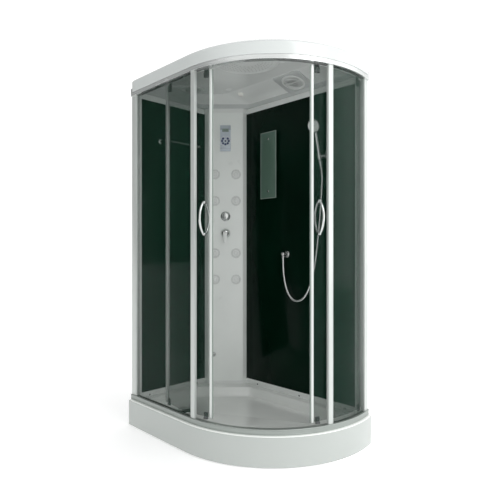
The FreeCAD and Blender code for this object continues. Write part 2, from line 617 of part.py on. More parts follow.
def build_door(side, centre, lead, direction):
    """One sliding door; lead is the angle of its leading tip, direction the way it leads."""
    def turned(arc_length):
        return lead - degrees_of(arc_length, DOOR_RADIUS) * direction

    height = dim.door_top - dim.door_bottom
    width = dim.door_angle * (math.pi / HALF_TURN) * DOOR_RADIUS
    edge_skin = 3
    near = turned(dim.seal_width + edge_skin)
    far = turned(width - edge_skin)
    start, sweep = (far, near - far) if direction > 0 else (near, far - near)
    pane = arc_band(side + "_pane", centre, GLASS_OUT, GLASS_IN, start, sweep,
                    dim.door_bottom, height)
    handle_angle = turned(dim.handle_edge_distance)
    holes = []
    studs = []
    for number, end in enumerate((-1, 1)):
        level = dim.handle_height + dim.handle_reach * end
        holes.append(radial_rod("%s_handle_hole_%d" % (side, number), centre, handle_angle,
                                GLASS_IN - 10, dim.handle_stud + dim.soft_gap, 25, level))
    part(side + "_door_glass", cut(side + "_glass", pane, *holes))

    def clip(name, place_angle, profile_width, depth, offset):
        """A profile round the pane's edge, with a slot for the glass."""
        outer = DOOR_RADIUS + offset
        bar = arc_box(name, centre, place_angle, outer, outer - depth, profile_width,
                      dim.door_bottom - 4, height + 2)
        toward = direction if "tail" in name else -direction
        slot_angle = place_angle + degrees_of(size(edge_skin - 0.4), DOOR_RADIUS) * toward
        slot = arc_box(name + "_slot", centre, slot_angle, GLASS_OUT + GLASS_CLEAR,
                       GLASS_IN - GLASS_CLEAR, profile_width, dim.door_bottom - 5, height + 4)
        return cut(name + "_profile", bar, slot)

    lead_clip = clip(side + "_lead", turned(dim.seal_width + dim.edge_profile_width / 2),
                     dim.edge_profile_width, dim.edge_profile_depth, dim.edge_profile_depth / 2)
    tail_clip = clip(side + "_tail", turned(width - dim.tail_profile_width / 2),
                     dim.tail_profile_width, dim.tail_profile_depth, dim.glass_wall / 2 + 2)
    lip = dim.seal_width - dim.soft_gap
    seal = arc_box(side + "_seal", centre, turned(lip / 2), DOOR_RADIUS + 4,
                   DOOR_RADIUS - 4, lip, dim.door_bottom - 4, height + 2)
    part(side + "_door_frame", group(side + "_door_profiles", (lead_clip, tail_clip, seal)))

    bow_radius = (dim.handle_reach) / sine(dim.handle_bow)
    rise = bow_radius * cosine(dim.handle_bow)
    bows = []
    for name, face, sign in (("outer", GLASS_OUT, 1), ("inner", GLASS_IN, -1)):
        chord = face + dim.handle_base * sign
        x, y = on_arc(centre, chord - rise * sign, handle_angle)
        bow = bind(doc.addObject("Part::Torus", "%s_%s_bow" % (side, name)),
                   Radius1=bow_radius, Radius2=dim.handle_bar, Angle3=dim.handle_bow * 2)
        place(bow, (x, y, dim.handle_height),
              (("z", handle_angle - 90 * sign), ("x", 90), ("z", -dim.handle_bow)))
        bows.append(bow)
    for number, end in enumerate((-1, 1)):
        level = dim.handle_height + dim.handle_reach * end
        reach_in = GLASS_IN - dim.handle_base
        reach_out = GLASS_OUT
        studs.append(radial_rod("%s_stud_%d" % (side, number), centre, handle_angle,
                                GLASS_IN - 1, dim.handle_stud, dim.glass_wall + 2, level))
        studs.append(radial_rod("%s_inner_base_%d" % (side, number), centre, handle_angle,
                                reach_in, dim.handle_base_radius, dim.handle_base - 0.2, level))
        studs.append(radial_rod("%s_outer_base_%d" % (side, number), centre, handle_angle,
                                reach_out + 0.2, dim.handle_base_radius,
                                dim.handle_base - 0.2, level))
    part(side + "_door_handle", fuse(side + "_handle", *(bows + studs)))

    carriers = []
    wheel_out = reach(dim.roller_inset - dim.roller_width / 2)
    wheel_in = reach(dim.roller_inset + dim.roller_width / 2)
    arm_out = GLASS_IN - dim.carrier_gap
    arm_in = arm_out - dim.carrier_depth
    axle_height = RAIL_OVER + dim.roller_radius + dim.soft_gap
    plate_low = dim.door_top - dim.carrier_height
    ends = (("lead", turned(dim.roller_edge_distance)),
            ("tail", turned(width - dim.roller_edge_distance)))
    for end, angle in ends:
        name = "%s_%s" % (side, end)
        arm = arc_box(name + "_arm", centre, angle, arm_out, arm_in, dim.carrier_width,
                      plate_low, axle_height + 6 - plate_low)
        foot = arc_box(name + "_clamp", centre, angle, GLASS_IN - 0.2, arm_in, dim.carrier_width,
                       plate_low, dim.carrier_height - 8)
        axle = radial_rod(name + "_axle", centre, angle, arm_in + 1, dim.axle_radius,
                          wheel_out + 1 - arm_in - 1, axle_height)
        carriers.append(fuse(name + "_carrier", arm, foot, axle))
        tyre = radial_rod(name + "_tyre", centre, angle, wheel_in, dim.roller_radius,
                          dim.roller_width, axle_height)
        bore = radial_rod(name + "_bore", centre, angle, wheel_in - 1,
                          dim.axle_radius + 0.05, dim.roller_width + 2, axle_height)
        part("%s_%s_roller" % (side, end), cut(name + "_wheel", tyre, bore))
        low = BOTTOM_RAIL_TOP + dim.guide_gap
        plate = arc_box(name + "_guide_plate", centre, angle, GLASS_IN - 0.2,
                        GLASS_IN - 0.2 - dim.carrier_depth, dim.guide_width, low,
                        dim.guide_height)
        foot = arc_box(name + "_guide_foot", centre, angle, GLASS_OUT, GLASS_IN - 6,
                       dim.guide_width, low, dim.guide_foot)
        carriers.append(fuse(name + "_guide", plate, foot))
    part(side + "_door_carriers", group(side + "_carriers", carriers))


def build_doors():
    build_door("left", LEFT_CENTRE, dim.left_door_lead, 1)
    build_door("right", ARC, dim.meeting_angle + dim.right_door_travel + size(0.1), -1)


# ---------------------------------------------------------------- back walls and column
def build_panels():
    thick = dim.panel_wall
    low = dim.panel_low - dim.panel_bite
    height = dim.panel_high + dim.panel_bite - low
    behind = dim.column_reach - 14
    face = dim.wall_gap
    long_end = dim.cabin_length - dim.long_panel_end + dim.panel_bite
    pane = box("long_pane", (along(behind), off_back(face + thick), low),
               (long_end - behind, thick, height))
    elbow_hole = rod("elbow_hole", (along(dim.elbow_along), off_back(face + thick + 1),
                                    dim.elbow_height), dim.elbow_outlet_radius + 1, thick + 2,
                     TO_BACK)
    part("long_back_panel", cut("long_panel", pane, elbow_hole))
    short_end = dim.cabin_depth - dim.short_panel_end + dim.panel_bite
    part("short_back_panel", box("short_pane", (along(face), off_back(short_end), low),
                                 (thick, short_end - behind, height)))


def build_panel_frames():
    """Pale strips on both walls; each holds the edge of a dark panel in a groove."""
    thick = dim.panel_wall
    depth = dim.wall_gap + thick + dim.frame_lip
    low_height = dim.panel_low - RIM
    high_height = dim.frame_high - dim.panel_high
    long_stop = dim.cabin_length - dim.long_panel_end
    short_stop = dim.cabin_depth - dim.short_panel_end
    start = dim.column_reach + dim.column_trim + dim.soft_gap
    groove = thick + 0.6
    strips = []

    def strip(name, low, extent, groove_low, groove_extent):
        solid = box(name, low, extent)
        room = box(name + "_groove", groove_low, groove_extent)
        strips.append(cut(name + "_strip", solid, room))

    bite = dim.panel_bite + 0.5
    long_run = long_stop + dim.stile_width - start
    groove_y = off_back(dim.wall_gap + thick + 0.3)
    for name, low, height, bed in (("long_low", RIM, low_height, dim.panel_low - bite),
                                   ("long_high", dim.panel_high, high_height, dim.panel_high - 1)):
        strip(name, (along(start), off_back(depth), low), (long_run, depth, height),
              (along(start - 1), groove_y, bed), (long_run - dim.stile_width + bite + 1, groove,
                                                  bite + 1))
    strip("long_stile", (along(long_stop), off_back(depth), dim.panel_low),
          (dim.stile_width, depth, dim.panel_high - dim.panel_low),
          (along(long_stop) - 1, groove_y, dim.panel_low - 1),
          (bite + 1, groove, dim.panel_high - dim.panel_low + 2))
    short_run = short_stop + dim.stile_width - start
    groove_x = along(dim.wall_gap - 0.3)
    groove_start = off_back(short_stop + bite)
    for name, low, height, bed in (("short_low", RIM, low_height, dim.panel_low - bite),
                                   ("short_high", dim.panel_high, high_height,
                                    dim.panel_high - 1)):
        strip(name, (LEFT, off_back(start + short_run), low), (depth, short_run, height),
              (groove_x, groove_start, bed), (groove, short_run - dim.stile_width + bite + 1,
                                              bite + 1))
    strip("short_stile", (LEFT, off_back(short_stop + dim.stile_width), dim.panel_low),
          (depth, dim.stile_width, dim.panel_high - dim.panel_low),
          (groove_x, groove_start, dim.panel_low - 1),
          (groove, bite + 1, dim.panel_high - dim.panel_low + 2))
    part("panel_frames", group("frame_strips", strips))


COLUMN_SUM = dim.column_reach + dim.wall_gap + dim.column_step
FACE_HALF = COLUMN_SUM / 2
FACE = (along(FACE_HALF), off_back(FACE_HALF))


def column_shell(name, grow, wall, low, height):
    """The column's bent sheet, from one dark panel to the other."""
    tail = dim.wall_gap + dim.panel_wall + dim.soft_gap
    far = dim.column_reach + grow
    near = dim.wall_gap + dim.column_step + grow * (math.sqrt(2) - 1)
    slip = wall * (math.sqrt(2) - 1)
    outer = ((tail, far), (near, far), (far, near), (far, tail))
    inner = ((far - wall, tail), (far - wall, near - slip), (near - slip, far - wall),
             (tail, far - wall))
    corners = [(along(a), off_back(b), "line") for a, b in outer + inner]
    return pad(name, corners, low, height)


def on_face(side, height, out):
    """A point on the column's face: across it, up it and out of it."""
    return (FACE[0] + side * SIN45 + out * SIN45, FACE[1] + side * SIN45 - out * SIN45, height)


JETS = [(side, level) for side in (-1, 1) for level in ("jet_1", "jet_2", "jet_3", "jet_4")]


def jet_places():
    for number, (side, level) in enumerate(JETS):
        yield number, dim.jet_spread / 2 * side, getattr(dim, level)


def build_column():
    low = RIM + dim.column_foot
    top = dim.frame_high - dim.column_cap
    shell = column_shell("column_sheet", size(0), dim.column_wall, low, top - low)
    through = dim.column_wall + 4
    holes = [rod("jet_hole_%d" % number, on_face(side, level, -through),
                 dim.jet_stem_radius + dim.soft_gap, through + 2, ON_COLUMN)
             for number, side, level in jet_places()]
    for name, level in (("diverter", dim.diverter_centre), ("mixer", dim.mixer_centre)):
        holes.append(rod(name + "_hole", on_face(size(0), level, -through),
                         dim.cartridge_radius + dim.soft_gap, through + 2, ON_COLUMN))
    holes.append(rod("steam_hole", on_face(-dim.steam_outlet_side, dim.steam_outlet_centre,
                                           -through), dim.jet_stem_radius + dim.soft_gap,
                     through + 2, ON_COLUMN))
    window = box("control_window",
                 on_face(-(dim.control_box_width / 2) - dim.soft_gap,
                         dim.control_centre - dim.control_box_height / 2 - dim.soft_gap,
                         size(2)),
                 (dim.control_box_width + dim.soft_gap * 2, through + 2,
                  dim.control_box_height + dim.soft_gap * 2), (("z", 45),))
    part("corner_column", cut("column", shell, window, *holes))
    wall = dim.column_wall + dim.column_trim
    foot = column_shell("column_foot_trim", dim.column_trim, wall, RIM, dim.column_foot)
    cap = column_shell("column_head_trim", dim.column_trim, wall, top, dim.column_cap)
    part("column_caps", group("column_trims", (foot, cap)))


# ---------------------------------------------------------------- fittings on the column
def face_rod(name, side, height, out, radius, length):
    return rod(name, on_face(side, height, out), radius, length, ON_COLUMN)


def face_cone(name, side, height, out, radius_low, radius_high, length):
    return cone(name, on_face(side, height, out), radius_low, radius_high, length, ON_COLUMN)


def face_box(name, side, height, out, width, tall, depth):
    """A box on the column's face, centred across it, from out down to out - depth."""
    return box(name, on_face(side - width / 2, height - tall / 2, out), (width, depth, tall),
               (("z", 45),))


def build_jets():
    jets = []
    for number, side, level in jet_places():
        name = "jet_%d" % number
        plate = face_rod(name + "_plate", side, level, size(0.1), dim.jet_radius, dim.jet_plate)
        dome = face_cone(name + "_dome", side, level, dim.jet_plate, dim.jet_radius - 6,
                         dim.jet_radius / 2, dim.jet_dome - dim.jet_plate)
        nozzle = face_rod(name + "_nozzle", side, level, dim.jet_dome - 1,
                          dim.jet_nozzle_radius, 4)
        stem = face_rod(name + "_stem", side, level, -dim.jet_stem, dim.jet_stem_radius,
                        dim.jet_stem + 1)
        jets.append(fuse(name, plate, dome, nozzle, stem))
    part("body_jets", group("jets", jets))


RING_ANGLES = [dim.ring_step * step for step in range(-3, 4)]


def button_places():
    """Across and up for each ring button, counted from the lowest one."""
    for number, angle in enumerate(RING_ANGLES, start=1):
        yield number, dim.ring_radius * sine(angle), dim.ring_centre - dim.ring_radius * cosine(angle)


def build_control():
    depth = dim.control_depth
    front = face_box("control_front", size(0), dim.control_centre, depth, dim.control_width,
                     dim.control_height, depth - 0.1)
    rear = face_box("control_rear", size(0), dim.control_centre, size(1), dim.control_box_width,
                    dim.control_box_height, dim.control_box_depth)
    wells = [face_rod("button_well_%d" % number, side, height, size(0),
                      dim.button_radius + dim.soft_gap, depth + 1)
             for number, side, height in button_places()]
    wells.append(face_rod("centre_button_well", size(0), dim.ring_centre, size(0),
                          dim.centre_button_radius + dim.soft_gap, depth + 1))
    wells.append(face_box("display_well", size(0), dim.display_centre, depth + 1,
                          dim.display_width + dim.soft_gap, dim.display_height + dim.soft_gap,
                          dim.display_wall + 1))
    part("control_housing", cut("control", fuse("control_body", front, rear), *wells))
    part("display", face_box("display_pane", size(0), dim.display_centre,
                                     depth + 0.5, dim.display_width, dim.display_height,
                                     dim.display_wall + 0.5))
    bottom = depth + dim.button_out - dim.button_body
    for number, side, height in button_places():
        part("ring_button_%d" % number, face_rod("ring_key_%d" % number, side, height, bottom,
                                                 dim.button_radius, dim.button_body))
    part("centre_button", face_rod("centre_key", size(0), dim.ring_centre, bottom,
                                   dim.centre_button_radius, dim.button_body))


def build_valves():
    centre = size(0)
    level = dim.diverter_centre
    skirt = face_rod("diverter_skirt", centre, level, dim.soft_gap, dim.diverter_radius, 7)
    grip = face_cone("diverter_grip", centre, level, size(7), dim.diverter_radius - 5,
                     dim.diverter_radius - 9, dim.diverter_height - 7)
    ridge = face_box("diverter_ridge", centre, level + dim.diverter_radius / 3,
                     dim.diverter_height + 4, size(7), dim.diverter_radius - 2, size(9))
    part("diverter_knob", fuse("diverter", skirt, grip, ridge))
    level = dim.mixer_centre
    base = face_rod("mixer_skirt", centre, level, dim.soft_gap, dim.mixer_radius, 7)
    dome = face_cone("mixer_dome", centre, level, size(7), dim.mixer_radius - 2,
                     dim.mixer_radius - 14, dim.mixer_height - 7)
    part("mixer_cap", fuse("mixer", base, dome))
    hub_out = dim.mixer_height + dim.lever_hub + dim.soft_gap
    hub = rod("lever_hub", on_face(-(dim.lever_width / 2), level, hub_out), dim.lever_hub,
              dim.lever_width, (("z", 45), ("y", 90)))
    blade = face_box("lever_blade", centre, level - dim.lever_length / 2,
                     hub_out + dim.lever_wall / 2, dim.lever_width, dim.lever_length,
                     dim.lever_wall)
    part("mixer_lever", fuse("lever", hub, blade))
    bodies = []
    for name, height in (("diverter", dim.diverter_centre), ("mixer", dim.mixer_centre)):
        bodies.append(face_rod(name + "_cartridge", centre, height, -dim.cartridge_length,
                               dim.cartridge_radius, dim.cartridge_length))
    side = dim.manifold_side
    middle = (dim.diverter_centre + dim.mixer_centre) / 2
    back_out = -dim.cartridge_length + side / 2
    bodies.append(face_box("manifold_riser", centre, middle, back_out, side,
                           dim.diverter_centre - dim.mixer_centre + side, side))
    bodies.append(face_box("manifold_bar", centre, dim.mixer_centre, back_out,
                           dim.manifold_width, side, side))
    for name, direction in (("hot", -1), ("cold", 1)):
        bodies.append(face_rod(name + "_inlet", dim.inlet_spread / 2 * direction,
                               dim.mixer_centre, back_out - side - dim.inlet_length,
                               dim.inlet_radius, dim.inlet_length + 1))
    part("valve_body", fuse("valves", *bodies))


def build_steam():
    side = -dim.steam_outlet_side
    level = dim.steam_outlet_centre
    cap = face_cone("steam_cap", side, level, size(0.1), dim.steam_outlet_radius,
                    dim.steam_outlet_radius - 4, 9)
    stem = face_rod("steam_stem", side, level, -dim.jet_stem, dim.jet_stem_radius,
                    dim.jet_stem + 1)
    part("steam_outlet", fuse("steam_nozzle", cap, stem))
    centre_level = dim.generator_low + dim.generator_height / 2
    back = -(dim.column_wall + dim.soft_gap)
    tank = face_box("generator_tank", size(0), centre_level, back, dim.generator_width,
                    dim.generator_height, dim.generator_depth)
    neck = face_box("generator_neck", side / 2 - 8, level + 34, -dim.jet_stem,
                    dim.steam_outlet_side - 10, size(110), size(22))
    part("steam_generator", fuse("generator", tank, neck))


# ---------------------------------------------------------------- fittings on the walls
PANEL_FACE = dim.wall_gap + dim.panel_wall


def build_mirror():
    back_gap = PANEL_FACE + dim.mirror_off
    glass = box("mirror_glass", (along(dim.mirror_left), off_back(back_gap + dim.mirror_wall),
                                 dim.mirror_low),
                (dim.mirror_right - dim.mirror_left, dim.mirror_wall,
                 dim.mirror_high - dim.mirror_low))
    middle = (dim.mirror_left + dim.mirror_right) / 2
    pins = []
    holes = []
    for number, level in enumerate((dim.standoff_low, dim.standoff_high)):
        post = rod("standoff_%d" % number, (along(middle), off_back(back_gap), level),
                   dim.standoff_radius, dim.mirror_off, TO_BACK)
        head = rod("standoff_head_%d" % number,
                   (along(middle), off_back(back_gap + dim.mirror_wall + 4), level),
                   dim.standoff_radius, 4, TO_BACK)
        neck = rod("standoff_neck_%d" % number,
                   (along(middle), off_back(back_gap + dim.mirror_wall + 1), level),
                   dim.standoff_radius - 3, dim.mirror_wall + 2, TO_BACK)
        pins.append(fuse("standoff_%d_pin" % number, post, head, neck))
        holes.append(rod("standoff_hole_%d" % number,
                         (along(middle), off_back(back_gap + dim.mirror_wall + 1), level),
                         dim.standoff_radius - 2.5, dim.mirror_wall + 2, TO_BACK))
    part("mirror", group("mirror_unit", [cut("mirror_pane", glass, *holes)] + pins))


def build_towel_bar():
    x = along(PANEL_FACE + dim.towel_off)
    y_near = off_back(dim.towel_near)
    run = dim.towel_near - dim.towel_far
    bar = rod("towel_tube", (x, y_near, dim.towel_height), dim.towel_radius, run, TO_BACK)
    pieces = [bar]
    for name, y in (("near", y_near), ("far", y_near + run)):
        pieces.append(rod(name + "_post", (along(PANEL_FACE), y, dim.towel_height),
                          dim.towel_post, dim.towel_off + dim.towel_post, TO_RIGHT))
        pieces.append(rod(name + "_rosette", (along(PANEL_FACE), y, dim.towel_height),
                          dim.rosette_radius, dim.rosette, TO_RIGHT))
    part("towel_bar", fuse("towel_rail", *pieces))


ELBOW = (along(dim.elbow_along), off_back(PANEL_FACE + dim.elbow_off))


def build_elbow():
    x, y = ELBOW
    level = dim.elbow_height
    rose = rod("elbow_rose", (x, off_back(PANEL_FACE), level), dim.elbow_outlet_radius + 12, 6,
               TO_FRONT)
    neck = rod("elbow_neck", (x, off_back(PANEL_FACE), level), dim.elbow_outlet_radius + 2,
               dim.elbow_off, TO_FRONT)
    thread = rod("elbow_thread", (x, off_back(PANEL_FACE - 20), level),
                 dim.elbow_outlet_radius, 21, TO_FRONT)
    ball = place(bind(doc.addObject("Part::Sphere", "elbow_ball"), Radius=dim.elbow_ball),
                 (x, y, level))
    outlet = rod("elbow_outlet", (x, y, level - dim.elbow_outlet), dim.elbow_outlet_radius,
                 dim.elbow_outlet)
    part("hose_elbow", fuse("elbow", rose, neck, thread, ball, outlet))


RISER = (along(dim.riser_along), off_back(PANEL_FACE + dim.riser_off))
HOLDER_X = RISER[0] - dim.holder_side


def build_riser():
    x, y = RISER
    bar = rod("riser_bar", (x, y, dim.riser_low), dim.riser_radius,
              dim.riser_high - dim.riser_low)
    pieces = [bar]
    for name, level in (("low", dim.riser_low + dim.bracket_inset),
                        ("high", dim.riser_high - dim.bracket_inset)):
        pieces.append(rod(name + "_bracket", (x, off_back(PANEL_FACE), level),
                          dim.riser_radius + 2, dim.riser_off, TO_FRONT))
        pieces.append(rod(name + "_bracket_rose", (x, off_back(PANEL_FACE), level),
                          dim.riser_radius + 7, 5, TO_FRONT))
    part("riser_rail", fuse("riser", *pieces))
    centre = dim.slider_height
    low = centre - dim.slider_length / 2
    block = rod("slider_block", (x, y, low), dim.slider_radius, dim.slider_length)
    arm = rod("slider_arm", (x, y, centre), size(8), dim.holder_side - dim.holder_radius
              - dim.soft_gap, (("y", -90),))
    bore = rod("slider_bore", (x, y, low - 1), dim.riser_radius + 0.3, dim.slider_length + 2)
    part("slider", cut("slider_shell", fuse("slider_body", block, arm), bore))


def build_handshower():
    """Holder and handshower, built upright at the pivot and leaned together."""
    base = (HOLDER_X, RISER[1], dim.slider_height)
    lean = (("x", dim.hand_lean),)
    cup = rod("holder_cup", (0, 0, -(dim.holder_length / 2)), dim.holder_radius,
              dim.holder_length)
    room = rod("holder_room", (0, 0, -dim.holder_length), dim.hand_radius + 0.3,
               dim.holder_length * 2)
    part("shower_holder", place(cut("holder", cup, room), base, lean))
    handle = rod("hand_grip", (0, 0, -dim.hand_below), dim.hand_radius,
                 dim.hand_below + dim.hand_length)
    nut = cone("hand_nut", (0, 0, -(dim.hand_below + dim.nut_cone)), dim.hose_radius + 1,
               dim.hand_radius, dim.nut_cone)
    nod = (("x", 90 + dim.head_nod - dim.hand_lean),)
    head = rod("hand_head", (0, -dim.head_forward, dim.head_distance), dim.head_radius,
               dim.head_wall / 2, nod)
    back = cone("hand_head_back", (0, dim.head_wall - dim.head_forward - 2,
                                   dim.head_distance + 1.6),
                dim.head_radius * 0.4, dim.head_radius, dim.head_wall, nod)
    neck = cone("hand_neck", (0, 0, dim.hand_length - 2), dim.hand_radius, size(13),
                dim.head_distance - dim.hand_length)
    part("handshower", place(fuse("hand", handle, nut, head, back, neck), base, lean))


# ---------------------------------------------------------------- shower hose
HOSE_MIDDLE = (
    (5, 325, 955), (9, 327, 895), (22, 328, 838), (46, 326, 786), (84, 323, 752),
    (134, 321, 748), (178, 321, 774), (208, 322, 822), (230, 324, 880), (252, 327, 975),
    (266, 331, 1085), (275, 337, 1200), (282, 342, 1315), (286, 347, 1420),
)


def hose_points():
    """The hose's route: out of the elbow, down round its loop and up to the handshower."""
    x, y = (value.value for value in ELBOW)
    outlet = (x, y, dim.elbow_height.value - dim.elbow_outlet.value)
    below = dim.hand_below.value + dim.nut_cone.value
    lean = math.radians(dim.hand_lean.value)
    nut = (HOLDER_X.value, RISER[1].value + below * math.sin(lean),
           dim.slider_height.value - below * math.cos(lean))
    lead_in = (nut[0], nut[1] + 60 * math.sin(lean), nut[2] - 60 * math.cos(lean))
    points = [outlet] + list(HOSE_MIDDLE) + [lead_in, nut]
    return [FreeCAD.Vector(*point) for point in points]


def build_hose():
    """Straight runs joined by tangent arcs, swept by the hose's round section."""
    points = hose_points()
    share = 0.45
    edges = []
    start = points[0]
    radii = []
    for before, corner, after in zip(points, points[1:], points[2:]):
        run_in = corner - before
        run_out = after - corner
        turn = run_in.getAngle(run_out)
        trim = share * min(run_in.Length, run_out.Length)
        radii.append(trim / math.tan(turn / 2))
        first = corner - run_in.normalize() * trim
        last = corner + run_out.normalize() * trim
        inward = (first - corner).normalize() + (last - corner).normalize()
        inward.normalize()
        gap = radii[-1] / math.cos(turn / 2) - radii[-1]
        edges.append(Part.LineSegment(start, first).toShape())
        edges.append(Part.Arc(first, corner + inward * gap, last).toShape())
        start = last
    edges.append(Part.LineSegment(start, points[-1]).toShape())
    path = Part.Wire(edges)
    direction = points[1] - points[0]
    section = Part.Wire([Part.makeCircle(dim.hose_radius.value, points[0], direction)])
    tube = path.makePipeShell([section], True, False)
    ideal = math.pi * dim.hose_radius.value ** 2 * path.Length
    print("hose length %.0f, tightest radius %.0f, volume %.4f of its section times its length"
          % (path.Length, min(radii), tube.Volume / ideal))
    item = doc.addObject("Part::Feature", "hose")
    item.Shape = tube
    part("shower_hose", item)


# ---------------------------------------------------------------- roof
RAIL_TOP = RAIL_OVER + dim.top_rail_upstand


# The cove that slopes from the long wall up to the ceiling, and a place on it.
COVE_RISE = dim.ceiling_height - dim.cove_low
COVE_RUN = dim.cove_back_far - dim.cove_back_near
COVE_ANGLE = arc_tangent(COVE_RISE / COVE_RUN)


def on_cove(name, item, distance_along, distance_back, drop):
    """Put an upright item on the cove, square to its slope."""
    height = dim.cove_low + (distance_back - dim.cove_back_near) * COVE_RISE / COVE_RUN
    return place(group(name, (item,)),
                 (along(distance_along), off_back(distance_back), height - drop),
                 (("x", -COVE_ANGLE),))


def build_roof():
    top = dim.cabin_height
    band = dim.roof_band_high
    out = dim.roof_inset
    outside = loft("roof_outside", (
        (plan_outline(out, out), dim.roof_low),
        (plan_outline(out, out), band),
        (plan_outline(out + 22, out + 22), band + 14),
        (plan_outline(out + 130, out + 130), top - 12),
        (plan_outline(out + 220, out + 220), top)))
    skin = out + dim.roof_wall
    shelf = dim.wall_gap + dim.panel_wall + 5
    cut_sum = COLUMN_SUM + 8
    far_cut = cut_sum + dim.cove_back_far / 2
    inside = loft("roof_inside", (
        (plan_outline(skin, shelf, cut_sum), dim.roof_low - 1),
        (plan_outline(skin, shelf, cut_sum), RAIL_TOP),
        (plan_outline(dim.cove_front_near, dim.cove_back_near, cut_sum), dim.cove_low),
        (plan_outline(dim.cove_front_far, dim.cove_back_far, far_cut, dim.cove_left_far),
         dim.ceiling_height)))
    block = box("fan_boss_block", (-(dim.boss_width / 2), -(dim.boss_length / 2), 0),
                (dim.boss_width, dim.boss_length, dim.boss_depth))
    boss = on_cove("fan_boss", block, dim.fan_along, dim.fan_back, dim.boss_drop)
    room = cut("roof_room", inside, boss)
    shaft = on_cove("fan_shaft", rod("fan_shaft_hole", (0, 0, -5), dim.fan_hole, 160),
                    dim.fan_along, dim.fan_back, dim.boss_drop)
    groove = front_band("roof_rail_groove", skin, dim.rail_inset + dim.rail_skin + dim.soft_gap,
                        dim.roof_low - 1, RAIL_TOP + dim.soft_gap - dim.roof_low + 1)
    roof = cut("roof", outside, room, shaft, groove)
    seam = RAIL_TOP + dim.soft_gap
    span = (dim.cabin_length * 2, dim.cabin_depth * 2, top)
    over = box("roof_over", (-dim.cabin_length, -dim.cabin_depth, seam), span)
    under = box("roof_under", (-dim.cabin_length, -dim.cabin_depth, seam + dim.rail_seam - top),
                span)
    part("roof_shell", group("roof_pieces", (cut("roof_skirt", roof, over),
                                             cut("roof_dome", roof, under))))


def build_ceiling_fittings():
    ring_x, ring_y = along(dim.ring_along), off_back(dim.ring_back)
    low = dim.ceiling_height - dim.ring_drop
    disc = rod("rain_disc", (ring_x, ring_y, low), dim.ring_outer, dim.ring_drop - 0.2)
    recess = rod("rain_recess", (ring_x, ring_y, low - 1), dim.ring_inner, 3)
    centre = rod("rain_centre", (ring_x, ring_y, low), dim.ring_inner * 0.4, 4)
    part("overhead_shower", fuse("rain_head", cut("rain_ring", disc, recess), centre))
    part("speaker", rod("speaker_cup", (along(dim.speaker_along), off_back(dim.speaker_back),
                                        dim.ceiling_height - dim.speaker_drop),
                        dim.speaker_radius, dim.speaker_drop - 0.2))
    part("roof_light", on_cove("lamp", rod("lamp_cup", (0, 0, 0.2 - dim.light_drop),
                                           dim.light_radius, dim.light_drop - 0.4),
                               dim.light_along, dim.light_back, size(0)))


def build_fan():
    tube_radius = dim.fan_hole - dim.soft_gap
    flange = rod("fan_flange", (0, 0, -dim.fan_flange), dim.fan_flange_radius, dim.fan_flange)
    barrel = rod("fan_barrel", (0, 0, -dim.fan_flange), tube_radius,
                 dim.fan_depth + dim.fan_flange)
    room = rod("fan_room", (0, 0, -dim.fan_flange - 1), tube_radius - 5,
               dim.fan_depth + dim.fan_flange + 2)
    ring = cut("fan_ring", fuse("fan_ring_solid", flange, barrel), room)
    bar = box("fan_grille_bar", (-tube_radius + 1, -(dim.fan_bar / 2), -dim.fan_flange),
              (tube_radius * 2 - 2, dim.fan_bar, 3))
    motor = rod("fan_motor", (0, 0, dim.fan_depth - 12), dim.impeller_hub, 12)
    spoke = box("fan_motor_spoke", (-tube_radius + 1, -4, dim.fan_depth - 6),
                (tube_radius * 2 - 2, 8, 6))
    pin = rod("fan_pin", (0, 0, 6), size(3), dim.fan_depth - 10)
    part("fan_housing", on_cove("fan_unit", fuse("fan", ring, bar, motor, spoke, pin),
                                dim.fan_along, dim.fan_back, dim.boss_drop))
    hub_low = dim.fan_depth - 12 - dim.soft_gap - dim.impeller_depth
    hub = rod("impeller_hub", (0, 0, hub_low), dim.impeller_hub, dim.impeller_depth)
    blades = [hub]
    count = 7
    for number in range(count):
        turn = (("z", 360 / count * number), ("x", 35))
        blade = box("impeller_blade_%d" % number, (0, 0, 0), (dim.impeller_radius, 2, 12))
        place(blade, (0, 0, hub_low + 2), turn)
        blades.append(blade)
    bore = rod("impeller_bore", (0, 0, hub_low - 1), size(3.05), dim.impeller_depth + 2)
    part("fan_impeller", on_cove("fan_wheel", cut("impeller", fuse("impeller_body", *blades),
                                                  bore),
                                 dim.fan_along, dim.fan_back, dim.boss_drop))


# ---------------------------------------------------------------- build, test and write
build_tray()
build_apron()
build_tray_frame()
build_drain()
build_rails()
build_wall_profiles()
build_front_profiles()
build_fixed_glass()
build_doors()
build_panels()
build_panel_frames()
build_column()
build_jets()
build_control()
build_valves()
build_steam()
build_mirror()
build_towel_bar()
build_elbow()
build_riser()
build_handshower()
build_hose()
build_roof()
build_ceiling_fittings()
build_fan()
doc.recompute()

faults = []
for item in doc.Objects:
    if "Invalid" in item.State or "Error" in item.State:
        faults.append("%s: %s" % (item.Label, item.State))
for node, item in parts.items():
    if item.Shape.isNull() or not item.Shape.isValid():
        faults.append("%s has no valid shape" % node)
if faults:
    raise RuntimeError("\n".join(faults))

os.makedirs("parts", exist_ok=True)
for node, item in parts.items():
    item.Shape.exportStep("parts/%s.step" % node)
print("%d sub-parts written" % len(parts))
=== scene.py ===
# %% [markdown]
# # Asymmetric steam shower cabin
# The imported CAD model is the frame. Every piece below is drawn in its coordinates, so that doors,
# knobs and buttons turn about the frame's own joints. Sizes are written in millimetres and become
# metres in `form`. The front of the cabin is a straight run and then an arc, so most long pieces
# are one section swept along that path, or one ring of the plan drawn again further in.

# %%
import json
import math
import bmesh
import bpy
from mathutils import Matrix, Vector

